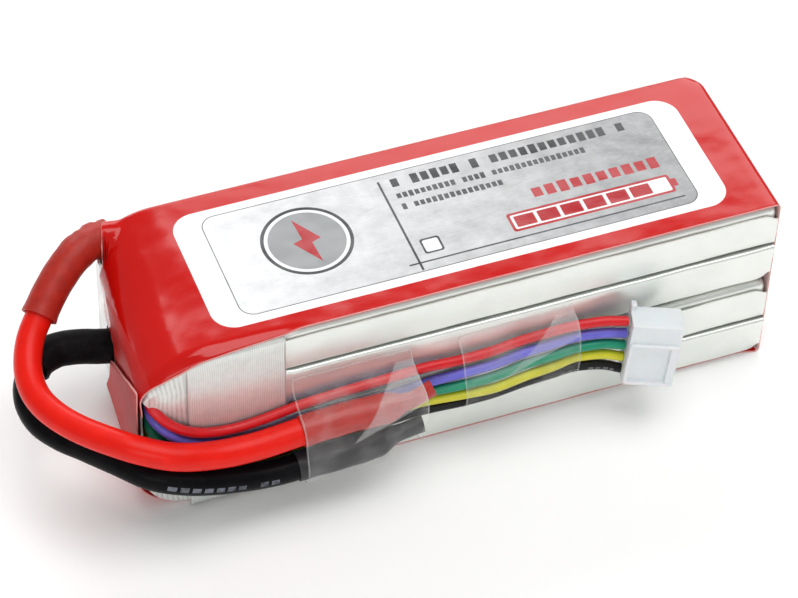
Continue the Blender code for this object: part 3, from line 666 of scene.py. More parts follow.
def makeCaps(shrinks):
    pieces = {}
    for colour in ("red", "black"):
        route = [Vector(p) for p in routes[colour + "Cap"]]
        route[0] -= (route[1] - route[0]).normalized() * capLook["overlap"]  # shrunk over the end of the lead
        points = smoothRoute(route, capLook["spacing"])
        last = len(points) - 1
        full = capLook["bore"] + capLook["wall"]

        def size(index, turn):
            share = index / last
            flat = smoothStep(capLook["flatStart"], capLook["flatEnd"], share)
            dents = 0.09 * noise.noise(Vector((index * 0.35, math.cos(turn) * 1.6, math.sin(turn) * 1.6)))
            round_ = full + dents
            return round_ + (capLook["tipAcross"] - full) * flat, round_ + (capLook["tipUp"] - full) * flat

        def bore(index, turn):
            across, up = size(index, turn)
            return max(0.2, across - capLook["wall"] + 0.06), max(0.2, up - capLook["wall"] + 0.06)

        outside = ringsAlong(points, size, capLook["sides"])
        inside = ringsAlong(points, bore, capLook["sides"])
        rings = inside[: last - 2][::-1] + outside
        cap = solidFromRings(colour + "EndCap", rings, shrinks[colour], 50.0)
        fit(cap, colour + "_shrink", colour + "_end_cap")
        pieces[colour] = cap
    return pieces


wireLook = {
    "diameter": 1.7, "sides": 20, "spacing": 0.7,
    "red": ((0.70, 0.012, 0.018), (0.5, 0.01, 0.015)),
    "blue": ((0.16, 0.15, 0.68), (0.10, 0.09, 0.45)),
    "green": ((0.01, 0.30, 0.16), (0.01, 0.2, 0.11)),
    "yellow": ((0.68, 0.64, 0.03), (0.5, 0.47, 0.02)),
    "black": ((0.009, 0.009, 0.01), (0.03, 0.03, 0.03)),
}


def makeWires():
    pieces = {}
    for colour, route in wireRoutes.items():
        printed = None
        if colour == "black":
            printed = {
                "start": 76.0, "end": 86.0, "turn": 42.0, "height": 6.0, "pitch": 1.3, "seed": 9.0,
                "colour": (0.16, 0.16, 0.17),
            }
        material = siliconeMaterial(colour + "Wire", *wireLook[colour], 0.15 if printed else 0.4, printed)
        points = smoothRoute(route, wireLook["spacing"])
        wire = cordTube(colour + "Wire", points, wireLook["diameter"] / 2, wireLook["sides"], material, 0.02)
        fit(wire, "wire_" + colour, "balance_wire_" + colour)
        pieces[colour] = (wire, points)
    return pieces


leads = makeLeads()
shrinks = {
    "red": shrinkMaterial("redShrink", sleeveLook, "red", 0.3),
    "black": shrinkMaterial("blackShrink", sleeveLook, "black", 0.03),
}
sleeves = makeSleeves(shrinks)
caps = makeCaps({
    "red": shrinkMaterial("redCapShrink", capLook, "red", 0.4, 0.3),
    "black": shrinkMaterial("blackCapShrink", capLook, "black", 0.3, 0.35),
})
wires = makeWires()
print("leads and wires ready")


# Balance plug

plugLook = {
    "length": 8.6, "thickness": 5.3, "height": 12.4, "pins": 5, "pitch": 2.5,
    "rimLength": 0.9, "rimReach": 1.2, "rimDepth": 1.4, "ribHeight": 0.55, "ribRise": 2.2, "postReach": 0.42,
    "windowStart": 3.2, "windowEnd": 6.6, "clearance": 0.3, "contact": 1.3, "yaw": -18, "pitchTurn": 6, "lean": -5.5,
    "colour": (0.80, 0.83, 0.85), "other": (0.70, 0.74, 0.77),
}


def plugPlace():
    entry = Vector(wireRoutes["green"][-1]) + Vector((plugLook["clearance"], 0, 0))
    yaw = Matrix.Rotation(math.radians(plugLook["yaw"]), 4, "Z")
    pitch = Matrix.Rotation(math.radians(plugLook["pitchTurn"]), 4, "Y")
    lean = Matrix.Rotation(math.radians(plugLook["lean"]), 4, "X")
    return Matrix.Translation(entry) @ yaw @ pitch @ lean


def makePlug():
    material = patchyMaterial(
        "plugNylon", plugLook["colour"], plugLook["other"], 0.38, 0.0, (0.25, 0.4), (0.6, 12.0, 0.3, 0.12, 0.0001),
        Subsurface_Weight=0.25, Subsurface_Scale=0.001,
    )
    place = plugPlace()
    half, wide = plugLook["height"] / 2, plugLook["thickness"] / 2
    long, rib = plugLook["length"], plugLook["ribHeight"]
    housing = roundedBox("plugHousing", (0, -wide, -half), (long, wide, half), 0.22, material, place)
    added = [roundedBox(
        "rim", (0.0, wide - plugLook["rimDepth"], -half - plugLook["rimReach"]),
        (plugLook["rimLength"], wide, half + plugLook["rimReach"]), 0.12, material, place,
    )]
    for index, centre in enumerate((plugLook["ribRise"], rib / 2 + 0.05 - half)):
        added.append(roundedBox(
            f"rib{index}", (0.3, -wide - rib, centre - rib / 2), (long - 0.3, -wide + 0.3, centre + rib / 2),
            0.12, material, place,
        ))
    for index, (low, width) in enumerate(((0.12, 0.7), (long - 1.5, 1.4))):
        added.append(roundedBox(
            f"post{index}", (low, -wide - plugLook["postReach"], -half + 0.1),
            (low + width, -wide + 0.3, plugLook["ribRise"]), 0.1, material, place,
        ))
    carve(housing, added, "UNION")
    room = plugLook["contact"] / 2 + plugLook["clearance"]
    cutters = [roundedBox(
        "recess", (0.95, -wide - 1.0, -half + rib + 0.2),
        (long - 1.6, -wide + 0.28, plugLook["ribRise"] - rib / 2 - 0.15), 0.1, material, place,
    )]
    for index in range(plugLook["pins"]):
        z = (plugLook["pins"] - 1) / 2 * plugLook["pitch"] - index * plugLook["pitch"]
        cutters.append(roundedBox(
            f"bore{index}", (-1.0, -room, z - room), (long + 1.0, room, z + room), 0.0, material, place,
        ))
        cutters.append(roundedBox(
            f"window{index}", (plugLook["windowStart"], wide - 0.7, z - room + 0.1),
            (plugLook["windowEnd"], wide + 1.0, z + room - 0.1), 0.0, material, place,
        ))
    carve(housing, cutters)
    housing.data.set_sharp_from_angle(angle=math.radians(35))
    fit(housing, "plug", "plug_housing")
    return housing


plug = makePlug()


# Pouch cells

cellLook = {
    "seamHeight": 6.9, "seamWall": 0.3, "fold": 0.5, "proud": 0.45, "cupCorner": 2.0, "crisp": 0.9,
    "endRound": 1.3, "stations": 72, "bandEdge": (-30.9, -29.6),
    "colour": (0.86, 0.88, 0.84), "other": (0.76, 0.79, 0.75), "roughness": 0.34,
    "terraceLength": 2.0, "terraceHalf": 14.5, "terraceWall": 0.35,
}


def foilMaterial():
    return patchyMaterial(
        "pouchFoil", cellLook["colour"], cellLook["other"], cellLook["roughness"], 0.6, (0.12, 0.6),
        (0.22, 7.0, 0.08, 0.35, 0.0005), Coat_Weight=0.15, Coat_Roughness=0.25,
    )


def cellOutline(foot, seamUp, x, seed):
    # half of the section: flat foot, folded edge, seam strip, then the cup with its round shoulder
    look = cellLook
    toEnd = min(x - pack["cellStart"], pack["cellEnd"] - x)
    pull = look["endRound"] * (1 - math.sqrt(max(0.0, 1 - (1 - min(1.0, toEnd / look["endRound"])) ** 2)))
    side = pack["cupHalf"] - pull * 0.8
    top = pack["cellThickness"] - pull * 0.8
    wave = max(-0.07, 0.16 * noise.noise(Vector((x * 0.09, seed, 0))) + 0.05 * noise.noise(Vector((x * 0.4, seed, 3))))
    out = pack["seamOutside"] + wave
    strip = out - look["seamWall"]
    height = look["seamHeight"] + 0.14 * noise.noise(Vector((x * 0.16, seed, 7)))
    height -= 1.0 * smoothStep(2.0, 0.2, toEnd)
    fold = look["fold"]
    free = smoothStep(*look["bandEdge"], x)  # nothing stands proud under the strand band
    lip = look["proud"] * free if seamUp else -0.12
    lift = -0.5 if seamUp else 0.0
    half = [(0.0, 0.0), (9.0, 0.0), (out + lip - fold - 0.6, lift * 0.6)]
    half += arc((out + lip - fold, fold + lift), fold, -90, 0, 6)
    half += [
        (out + lip * 0.45, 1.5), (out + 0.05, height * 0.5), (out, height - 0.15), (out - 0.06, height - 0.03),
        (strip + 0.06, height - 0.03), (strip, height - 0.15), (strip, fold), (side, fold),
    ]
    corner = look["cupCorner"] - look["crisp"] * free
    half += arc((side - corner, top - corner), corner, 0, 90, 9)
    half.append((7.0, top))
    whole = half + [(-y, z) for y, z in half[:0:-1]]
    if seamUp:
        whole = [(y, pack["cellThickness"] - z) for y, z in whole]
    return [Vector((x, y, foot + z)) for y, z in whole]


def makeCells(foil):
    look = cellLook
    for number in (1, 2, 3, 4):
        foot = pack["stackFoot"] + (4 - number) * pack["cellPitch"]
        seamUp = number % 2 == 0
        places = []
        for index in range(look["stations"] + 1):
            share = index / look["stations"]
            eased = share - 0.1 * math.sin(4 * math.pi * share) / (2 * math.pi)  # closer stations at the ends
            places.append(pack["cellStart"] + (pack["cellEnd"] - pack["cellStart"]) * eased)
        for extra in (0.15, 0.4, 0.8):
            places += [pack["cellStart"] + extra, pack["cellEnd"] - extra]
        places = sorted(set(places))
        rings = [cellOutline(foot, seamUp, x, number * 3.7) for x in places]
        cell = solidFromRings(f"pouchCell{number}", rings, foil, 38.0)
        low = foot + (pack["cellThickness"] - look["terraceWall"] if seamUp else 0.0)
        terrace = roundedBox(
            "terrace", (pack["cellStart"] - look["terraceLength"], -look["terraceHalf"], low),
            (pack["cellStart"] + 1.0, look["terraceHalf"], low + look["terraceWall"]), 0.0, foil,
        )
        carve(cell, [terrace], "UNION")
        cell.data.set_sharp_from_angle(angle=math.radians(38))
        fit(cell, "pouch", f"cell_{number}")


foil = foilMaterial()
makeCells(foil)
print("cells ready")


# Strand tape: the band round the cells and the closed lead end

tapeLook = {
    "bandStart": -47.5, "bandLength": 16.4, "bandWall": 0.1, "bandOut": 17.3, "bandTop": 35.05, "bandDip": 1.0,
    "bandCorner": 1.4, "bandFoot": 0.5, "colour": (0.80, 0.82, 0.79), "other": (0.55, 0.57, 0.55), "strandPitch": 0.36,
    "pleat": (0.36, 0.37, 0.36), "pleatPitch": 0.75, "pleatDepth": 0.22, "cupWall": 0.35, "exitRadius": 3.5,
    "turns": [0, 6, 12, 19, 26, 33, 40, 47, 54, 61, 68, 75, 81, 86],
    "mouth": [
        (-58.5, 11.5), (-50.3, 11.5), (-49.0, 13.5), (-48.5, 17.0), (-48.8, 19.6), (-50.4, 21.6), (-52.4, 23.9),
        (-54.0, 26.3), (-55.2, 28.2), (-58.5, 28.6),
    ],
}


def strandMaterial(name, axis, other, pitch, contrast, fan=0.0):
    # glass strands run across the chosen axis; fan lets them spread like a pleat
    material, tree, shader, inMm = startMaterial(
        name, tapeLook["colour"], 0.28, 0.35, Coat_Weight=0.5, Coat_Roughness=0.15,
    )
    parts = addNode(tree, "SeparateXYZ", {0: inMm}).outputs
    bend = addNode(tree, "TexNoise", {"Vector": inMm, "Scale": 0.12, "Detail": 1.0}).outputs[0]
    line = calc(tree, "ADD", parts[axis], calc(tree, "MULTIPLY", bend, 0.9 + 22.0 * fan))
    if fan:
        line = calc(tree, "ADD", line, calc(tree, "MULTIPLY", parts[2], fan))
    wave = calc(tree, "SINE", calc(tree, "MULTIPLY", line, 2 * math.pi / pitch))
    fade = addNode(tree, "TexNoise", {"Vector": inMm, "Scale": 0.8, "Detail": 2.0}).outputs[0]
    strand = calc(tree, "MULTIPLY", calc(tree, "ADD", calc(tree, "MULTIPLY", wave, 0.5), 0.5), fade)
    tint = mixColour(tree, calc(tree, "MULTIPLY", strand, contrast, clamp=True), tapeLook["colour"], other)
    tree.links.new(tint, shader.inputs["Base Color"])
    bump = addNode(tree, "Bump", {"Height": strand, "Strength": 0.45, "Distance": 0.00012})
    tree.links.new(bump.outputs[0], shader.inputs["Normal"])
    return material


def makeBand(material):
    look = tapeLook
    out, top, corner = look["bandOut"], look["bandTop"], look["bandCorner"]
    half = [(out, look["bandFoot"]), *arc((out - corner, top - corner), corner, 0, 90, 6)]
    section = [Vector((0, -y, z)) for y, z in half] + [Vector((0, y, z)) for y, z in half[::-1]]
    line = spaceOut(section, 0.7)

    def place(u, v):
        at = v * (len(line) - 1)
        index = min(int(at), len(line) - 2)
        point = line[index].lerp(line[index + 1], at - index)
        x = look["bandStart"] + look["bandLength"] * u
        ripple = 0.05 * noise.noise(Vector((x * 0.9, point.y * 0.1, point.z * 0.08)))
        lift = 0.12 * smoothStep(0.96, 1.0, u) * (0.5 + 0.5 * noise.noise(Vector((3, point.y, point.z * 0.4))))
        out = 1 if point.y > 0 else -1
        dip = look["bandDip"] * smoothStep(-43.0, -47.5, x) * smoothStep(30.0, 34.0, point.z)
        return Vector((x, point.y + out * (ripple + lift), point.z - dip))

    band = sheetFromGrid("strandBand", 36, 120, place, look["bandWall"], material, (-38, 0, 17))
    fit(band, "strand_tape", "strand_band")


def endRing(turn, inset):
    # one outline of the closed end: 0 degrees at the cells, near 90 at the very end
    out = math.sin(math.radians(turn))
    drop = 1 - math.cos(math.radians(turn))
    middle = pack["wrapStart"] - (pack["wrapStart"] - endFace(0.0)) * out
    top = filmHeight(middle, 0.0) - 0.55 - inset
    foot = 0.4 + inset + pack["shoeHeight"] * drop
    half = pack["seamOutside"] - inset - 0.8 * drop
    radius = 2.0 + 2.0 * drop
    ring = []
    for y, z, start in ((half, top, 0), (-half, top, 90), (-half, foot, 180), (half, foot, 270)):
        centre = (y - math.copysign(radius, y), z - radius if z == top else z + radius)
        for yy, zz in arc(centre, radius, start, start + 90, 8):
            reach = pack["wrapStart"] - endFace(yy) - inset
            pleat = 0.0
            if yy < -13 and zz > 9:  # gathered folds at the front corner
                pleat = tapeLook["pleatDepth"] * math.sin((zz + out * 4) * 2.9) * smoothStep(0.05, 0.5, out)
            ring.append(Vector((pack["wrapStart"] - reach * out - pleat, yy + pleat * 0.7, zz)))
    return ring


def makeEndWrap(material):
    outside = [endRing(t, 0.0) for t in tapeLook["turns"]]
    inside = [endRing(t, tapeLook["cupWall"]) for t in tapeLook["turns"][::-1]]
    wrap = solidFromRings("endWrap", inside + outside, material, 45.0)
    cutters = []
    for colour in ("red", "black"):
        route = routes[colour + "Lead"]
        start, end = Vector(route[0]), Vector(route[2])
        line = [start + (start - end).normalized() * 1.4, start, end]
        rings = ringsAlong(line, lambda index, turn: (tapeLook["exitRadius"],) * 2, 32)
        cutters.append(solidFromRings(colour + "Exit", rings, material))
    slit = [[Vector((x, y, z)) for x, z in tapeLook["mouth"]] for y in (-20.5, -14.9)]
    cutters.append(solidFromRings("slit", slit, material))
    carve(wrap, cutters)
    wrap.data.set_sharp_from_angle(angle=math.radians(45))
    fit(wrap, "strand_tape", "end_wrap")


bandTape = strandMaterial("strandTape", 0, tapeLook["other"], tapeLook["strandPitch"], 1.0)
# the end tape's dark lines in the pleat colour are partly its glass strands and partly painted shade in the pleat
# creases
endTape = strandMaterial("strandTapeEnd", 0, tapeLook["pleat"], tapeLook["pleatPitch"], 0.8, 0.05)
makeBand(bandTape)
makeEndWrap(endTape)
print("strand tape ready")


# Printed label

labelLook = {
    "front": -16.6, "back": 16.8, "rootReach": 3.35, "corner": 0.9, "wall": 0.2, "gap": 0.4, "softCorner": 3.2,
    "flapApart": 0.45, "curlTurn": 3.6, "columns": 84,
    "upperFlap": [(-17.0, 25.0), (-12.0, 22.0), (-6.0, 17.0), (2.7, 13.2), (3.4, 20.2), (9.2, 20.6), (9.8, 21.5)],
    "lowerFlap": [(-17.0, 30.4), (-12.0, 27.4), (-6.0, 23.2), (0.0, 19.2), (3.2, 16.9), (5.0, 13.6), (9.0, 11.5)],
    "frontFold": [
        (-56.0, 0.2), (-54.3, 0.8), (-51.8, 1.6), (-48.5, 1.8), (-45.2, 1.2), (-40.0, 0.8), (-31.0, 0.35), (-28.0, 0.0),
    ],
    "red": (0.56, 0.004, 0.002), "redOther": (0.50, 0.003, 0.002), "edge": (0.92, 0.62, 0.58),
    "innerFace": (0.66, 0.46, 0.44), "innerFrom": 50.0, "dullFrom": -53.4, "rough": 0.12, "dull": 0.4,
    "white": (0.92, 0.92, 0.92), "plateLight": (0.84, 0.85, 0.86), "plateDark": (0.27, 0.275, 0.28),
    "ink": (0.02, 0.022, 0.025), "greyInk": (0.05, 0.055, 0.06), "redInk": (0.42, 0.006, 0.012),
    "badgeGrey": (0.30, 0.31, 0.32), "plateLine": 0.16,
    "panel": (3.6, -0.06, 44.5, 13.2, 4.0), "plate": (3.55, 0.0, 39.75, 11.56, 2.6),
    "prints": [
        ("box", (-5.6, -0.6, 0.2, 10.6, 0.05), "greyInk"),  # rules
        ("box", (16.8, -9.55, 24.2, 0.16, 0.05), "greyInk"),
        ("row", (-3.9, 38.1, 9.0, 1.15, 1.75, 11.0), "ink"),  # plain blocks in place of words
        ("row", (-3.9, 29.7, 5.9, 0.72, 1.05, 23.0), "greyInk"),
        ("row", (-3.9, 13.95, 3.3, 0.72, 1.05, 37.0), "greyInk"),
        ("row", (17.2, 40.2, -0.7, 1.35, 2.3, 41.0), "redInk"),
        ("box", (25.8, -6.05, 14.4, 2.1, 0.5), "redInk"),  # charge gauge
        ("box", (25.8, -6.05, 13.9, 1.6, 0.3), "plateLight"),
        ("box", (40.6, -6.05, 0.45, 0.9, 0.2), "redInk"),
        *[("box", (14.1 + 4.1 * i, -6.05, 1.75, 1.25, 0.2), "redInk") for i in range(6)],
        ("box", (-21.0, 1.2, 7.6, 7.6, 7.6), "greyInk"),  # ring with a spark
        ("box", (-21.0, 1.2, 7.0, 7.0, 7.0), "plateLight"),
        ("box", (-21.0, 1.2, 6.4, 6.4, 6.4), "badgeGrey"),
        ("spike", (-20.1, 0.7, math.radians(108), 6.0, 1.55), "redInk"),
        ("spike", (-21.9, 1.7, math.radians(288), 6.0, 1.55), "redInk"),
        ("box", (-2.3, -6.3, 1.7, 1.7, 0.5), "greyInk"),  # small empty square
        ("box", (-2.3, -6.3, 1.35, 1.35, 0.35), "plateLight"),
    ],
}

# Steps along the film, in the order that the path takes them
labelSteps = {"lower": 12, "shoe": 12, "under": 40, "corner": 5, "end": 14, "top": 70, "curl": 24, "drop": 10}


def labelPath(y):
    # the film's line at one y: down the lower flap, under, round the far end, over, down the curl and its flap
    look, steps = labelLook, labelSteps
    reach = pack["curlStart"] - endFace(y) + look["gap"]
    start, height, corner = pack["curlStart"], pack["height"], look["corner"]
    shoe, curl = pack["shoeHeight"], pack["curlHeight"]
    bend = filmStart(y)
    lowTop = readTable(look["lowerFlap"], y)
    highEnd = readTable(look["upperFlap"], y)
    apart, far = look["flapApart"], pack["packEnd"]
    path = [(start - reach - apart, lowTop + (shoe - lowTop) * i / steps["lower"]) for i in range(steps["lower"])]
    for i in range(steps["shoe"] + 1):
        t = math.radians(90 - 90 / steps["shoe"] * i)
        path.append((start - (reach + apart * math.sin(t)) * math.sin(t), shoe * (1 - math.cos(t))))
    path += [(start + (far - corner - start) * i / steps["under"], 0.0) for i in range(1, steps["under"])]
    path += arc((far - corner, corner), corner, -90, 0, steps["corner"])
    path += [(far, corner + (height - 2 * corner) * i / steps["end"]) for i in range(1, steps["end"])]
    path += arc((far - corner, height - corner), corner, 0, 90, steps["corner"])
    path += [(far - corner + (bend - far + corner) * i / steps["top"], height) for i in range(1, steps["top"])]
    for i in range(steps["curl"] + 1):
        t = math.radians(look["curlTurn"] * i)
        path.append((bend - (bend - start + reach) * math.sin(t), height - curl * (1 - math.cos(t))))
    last, foot = path[-1]
    path += [(last, foot + (highEnd - foot) * i / steps["drop"]) for i in range(1, steps["drop"] + 1)]
    return path


def findMarks(steps):
    # where along the path each stretch begins
    under = steps["lower"] + steps["shoe"] + 1
    over = under + steps["under"] + steps["corner"] + 1 + steps["end"]
    curl = over + steps["corner"] - 1 + steps["top"] - 1
    return {"lower": steps["lower"], "under": under, "over": over, "curl": curl, "drop": curl + steps["curl"]}


labelMarks = findMarks(labelSteps)


def makeLabel(material):
    look = labelLook
    columns = look["columns"]
    steps = len(labelPath(0.0)) - 1
    marks = labelMarks

    def backEdge(i):
        if i < marks["lower"]:
            return 4.2 + (8.2 - 4.2) * i / marks["lower"]
        if i < marks["under"]:
            return 8.2 + (look["back"] - 8.2) * smoothStep(0, 1, (i - marks["lower"]) / 13) ** 2
        if i > marks["drop"]:
            return 11.6 - 2.0 * smoothStep(0, 1, (i - marks["drop"]) / 6)
        if i > marks["curl"]:
            return look["back"] - 5.2 * smoothStep(0.6, 0.82, (i - marks["curl"]) / 24)
        return look["back"]

    def place(u, v):
        i = round(u * steps)
        back = backEdge(i)
        front = look["front"] + (0.7 if marks["under"] < i < marks["under"] + labelSteps["under"] - 1 else 0.0)
        if i <= marks["under"]:  # the lower flap is cut back at its front corner
            front += readTable([(0, 0.0), (marks["lower"], 2.6), (marks["under"], 0.7)], i)
        y = front + (back - front) * v
        x, z = labelPath(y)[i]
        if i > marks["over"]:  # the front edge is pressed down over the shoulder towards the lead end
            near = smoothStep(-14.9, -16.6, y)
            drop = readTable(look["frontFold"], x)
            z -= drop * near * near
            y -= 0.9 * min(1.0, drop) * near * (1 - 0.8 * smoothStep(-50.0, -56.0, x))
        curl = smoothStep(marks["curl"] - 3, marks["curl"] + 12, i) if i > marks["over"] else 0.0
        low = 1 - smoothStep(10, 22, i)
        soft = 0.12 * curl + 0.15 * low
        if soft:
            shift = noise.noise(Vector((x * 0.16, y * 0.13, z * 0.14))) + 0.35 * noise.noise(Vector((x, y, z)) * 0.5)
            x -= abs(shift) * soft
        if i > marks["drop"]:
            x += 0.15 * smoothStep(0, 6, i - marks["drop"])
        if marks["curl"] - 30 < i < marks["drop"]:  # pulled tight over the root of the red sleeve
            rootX, rootY, rootZ = routes["redLead"][0]
            beside = y - (rootY + 0.15 * (x - rootX))
            if abs(beside) < look["rootReach"]:
                over = rootZ - 0.15 * (x - rootX)
                over += math.sqrt(look["rootReach"] ** 2 - beside * beside)
                z += max(0.0, over - z) * smoothStep(-45.0, -49.6, x)
        if z > 30:  # the far corner is pressed soft
            past = max(0.0, x - pack["packEnd"] + look["softCorner"]) * max(0.0, y - back + look["softCorner"])
            past /= look["softCorner"] ** 2
            z -= 1.1 * past * past
            x -= 0.7 * past * past
            y -= 0.5 * past * past
        flat = 1 - curl if z > 30 else 0.0
        z += 0.05 * flat * noise.noise(Vector((x * 0.06, y * 0.1, 5)))
        return Vector((x, y, z))

    label = sheetFromGrid("labelWrap", steps, columns, place, look["wall"], material, (0, 0, 17.8))
    fit(label, "label", "label_wrap")


def labelMaterial():
    look = labelLook
    material, tree, shader, inMm = startMaterial("labelFilm", look["red"], look["rough"], 0.0, IOR=1.42)
    x, y, z = addNode(tree, "SeparateXYZ", {0: inMm}).outputs
    onTop = calc(tree, "GREATER_THAN", z, 30.0)
    kinds = {
        "box": (printedBox, ("CentreX", "CentreY", "HalfWidth", "HalfHeight", "Corner")),
        "row": (blockRow, ("Start", "End", "Row", "HalfHeight", "Pitch", "Seed")),
        "spike": (printedSpike, ("FootX", "FootY", "Turn", "Length", "HalfWidth")),
    }

    def mark(kind, values):
        group, names = kinds[kind]
        return useGroup(tree, group, "Mask", X=x, Y=y, **dict(zip(names, values)))

    colour = useGroup(
        tree, patchyTint, "Tint", Spot=inMm, Base=(*look["red"], 1.0), Other=(*look["redOther"], 1.0),
        Size=0.08, Share=0.5,
    )

    # white panel and metal-look plate, the plate with painted glare
    def lay(mask, ink, below):
        return mixColour(tree, calc(tree, "MULTIPLY", mask, onTop), below, ink)

    colour = lay(mark("box", look["panel"]), look["white"], colour)
    mottle = addNode(tree, "TexNoise", {"Vector": inMm, "Scale": 0.28, "Detail": 6.0, "Roughness": 0.65}).outputs[0]
    stretched = addNode(tree, "VectorMath", {0: inMm, 1: (0.5, 3.0, 1.0)}, operation="MULTIPLY").outputs[0]
    brush = addNode(tree, "TexNoise", {"Vector": stretched, "Scale": 1.2, "Detail": 3.0}).outputs[0]
    # painted glare: the plate runs from plateLight at the left to plateDark at the right, with mottle and brushed grain
    # added
    glareSlope = addNode(tree, "MapRange", {0: x, 1: -36.0, 2: 36.0}).outputs[0]
    worn = calc(tree, "MULTIPLY", calc(tree, "ADD", mottle, calc(tree, "MULTIPLY", brush, 0.4)), 0.7)
    worn = calc(tree, "SUBTRACT", worn, 0.45)
    shade = calc(tree, "ADD", calc(tree, "MULTIPLY", glareSlope, 0.85), worn, clamp=True)
    metal = mixColour(tree, shade, look["plateLight"], look["plateDark"])
    colour = lay(mark("box", look["plate"]), look["greyInk"], colour)
    centreX, centreY, *sizes = look["plate"]
    inset = (centreX, centreY, *[size - look["plateLine"] for size in sizes])
    colour = lay(mark("box", inset), metal, colour)
    for kind, values, ink in look["prints"]:
        colour = lay(mark(kind, values), look[ink], colour)

    # the cut edge of the film shows pale
    uv = addNode(tree, "SeparateXYZ", {0: addNode(tree, "TexCoord").outputs["UV"]}).outputs
    rim = calc(tree, "GREATER_THAN", calc(tree, "ABSOLUTE", calc(tree, "SUBTRACT", uv[1], 0.5)), 0.4955)
    ends = calc(tree, "GREATER_THAN", calc(tree, "ABSOLUTE", calc(tree, "SUBTRACT", uv[0], 0.5)), 0.4985)
    rim = calc(tree, "MULTIPLY", calc(tree, "MAXIMUM", rim, ends), 0.55)
    colour = mixColour(tree, rim, colour, look["edge"])
    # the back of the film shows pale inside the far end
    facing = addNode(tree, "SeparateXYZ", {0: addNode(tree, "NewGeometry").outputs["Normal"]}).outputs[0]
    atEnd = calc(tree, "GREATER_THAN", x, look["innerFrom"])
    inside = calc(tree, "MULTIPLY", calc(tree, "LESS_THAN", facing, -0.5), atEnd)
    colour = mixColour(tree, inside, colour, look["innerFace"])
    tree.links.new(colour, shader.inputs["Base Color"])
    # the taped end is rubbed and duller than the top
    dull = calc(tree, "MULTIPLY", calc(tree, "LESS_THAN", x, look["dullFrom"]), look["dull"])
    tree.links.new(calc(tree, "ADD", dull, look["rough"]), shader.inputs["Roughness"])
    addRelief(tree, shader, inMm, 0.09, 2.2, 0.03, 0.35, 0.0006)
    return material


makeLabel(labelMaterial())
print("label ready")


# Clear tapes

clearLook = {
    "side": -17.5,
    "leads": [
        (-17.35, 25.0), (-17.5, 23.4), (-18.9, 21.9), (-21.4, 21.1), (-23.6, 20.6), (-24.9, 19.2), (-25.2, 17.0),
        (-25.3, 14.6), (-25.6, 12.2), (-25.75, 10.2), (-25.2, 8.2), (-23.5, 7.0), (-20.6, 6.3), (-17.4, 5.4),
    ],
    "wires": [
        (-17.35, 24.6), (-17.5, 23.2), (-19.1, 22.5), (-20.4, 20.8), (-21.2, 18.2), (-21.8, 15.2), (-21.5, 12.4),
        (-20.0, 10.4), (-17.4, 8.8),
    ],
    # the edge, haze and fold values add whiteness that is partly painted light: highlights on the borders, sheen, and a
    # reflection on a fold
    "wall": 0.05, "colour": (0.93, 0.93, 0.93), "alpha": 0.02, "edge": 0.12, "hazeAndSheen": 0.07, "fold": 0.11,
}


def clearMaterial():
    material, tree, shader, inMm = startMaterial(
        "clearTape", clearLook["colour"], 0.1, 0.0, Coat_Weight=0.6, Coat_Roughness=0.05, Specular_IOR_Level=0.7,
    )
    uv = addNode(tree, "SeparateXYZ", {0: addNode(tree, "TexCoord").outputs["UV"]}).outputs
    # painted highlight: the tape is made whiter along all four borders, where its edges catch the light
    sideEdge = calc(tree, "GREATER_THAN", calc(tree, "ABSOLUTE", calc(tree, "SUBTRACT", uv[0], 0.5)), 0.487)
    longEdge = calc(tree, "GREATER_THAN", calc(tree, "ABSOLUTE", calc(tree, "SUBTRACT", uv[1], 0.5)), 0.487)
    edge = calc(tree, "MAXIMUM", sideEdge, longEdge)
    # blotches of whiteness: partly the tape's own haze, partly painted sheen in place of glints
    blot = addNode(tree, "TexNoise", {"Vector": inMm, "Scale": 0.16, "Detail": 3.0, "Roughness": 0.6}).outputs[0]
    hazeAndSheen = addNode(tree, "MapRange", {0: blot, 1: 0.45, 2: 0.75, 3: 0.0, 4: clearLook["hazeAndSheen"]}).outputs[0]
    # painted reflection: a whiter patch that fans out from the middle to the upper corner, where a fold of the tape
    # catches the light
    side = calc(tree, "SUBTRACT", uv[0], 0.38)
    rise = calc(tree, "SUBTRACT", uv[1], 0.50)
    steep = calc(tree, "LESS_THAN", rise, calc(tree, "MULTIPLY", side, 0.9))
    low = calc(tree, "GREATER_THAN", rise, calc(tree, "MULTIPLY", side, 0.28))
    fan = calc(tree, "MULTIPLY", steep, calc(tree, "MULTIPLY", low, calc(tree, "GREATER_THAN", side, 0.0)))
    fan = calc(tree, "MULTIPLY", fan, calc(tree, "LESS_THAN", uv[1], 0.93))
    alpha = calc(tree, "ADD", hazeAndSheen, clearLook["alpha"])
    alpha = calc(tree, "ADD", alpha, calc(tree, "MULTIPLY", edge, clearLook["edge"]))
    alpha = calc(tree, "ADD", alpha, calc(tree, "MULTIPLY", fan, clearLook["fold"]), clamp=True)
    tree.links.new(alpha, shader.inputs["Alpha"])
    addRelief(tree, shader, inMm, 0.4, 1.8, 0.25, 0.7, 0.0009)
    return material


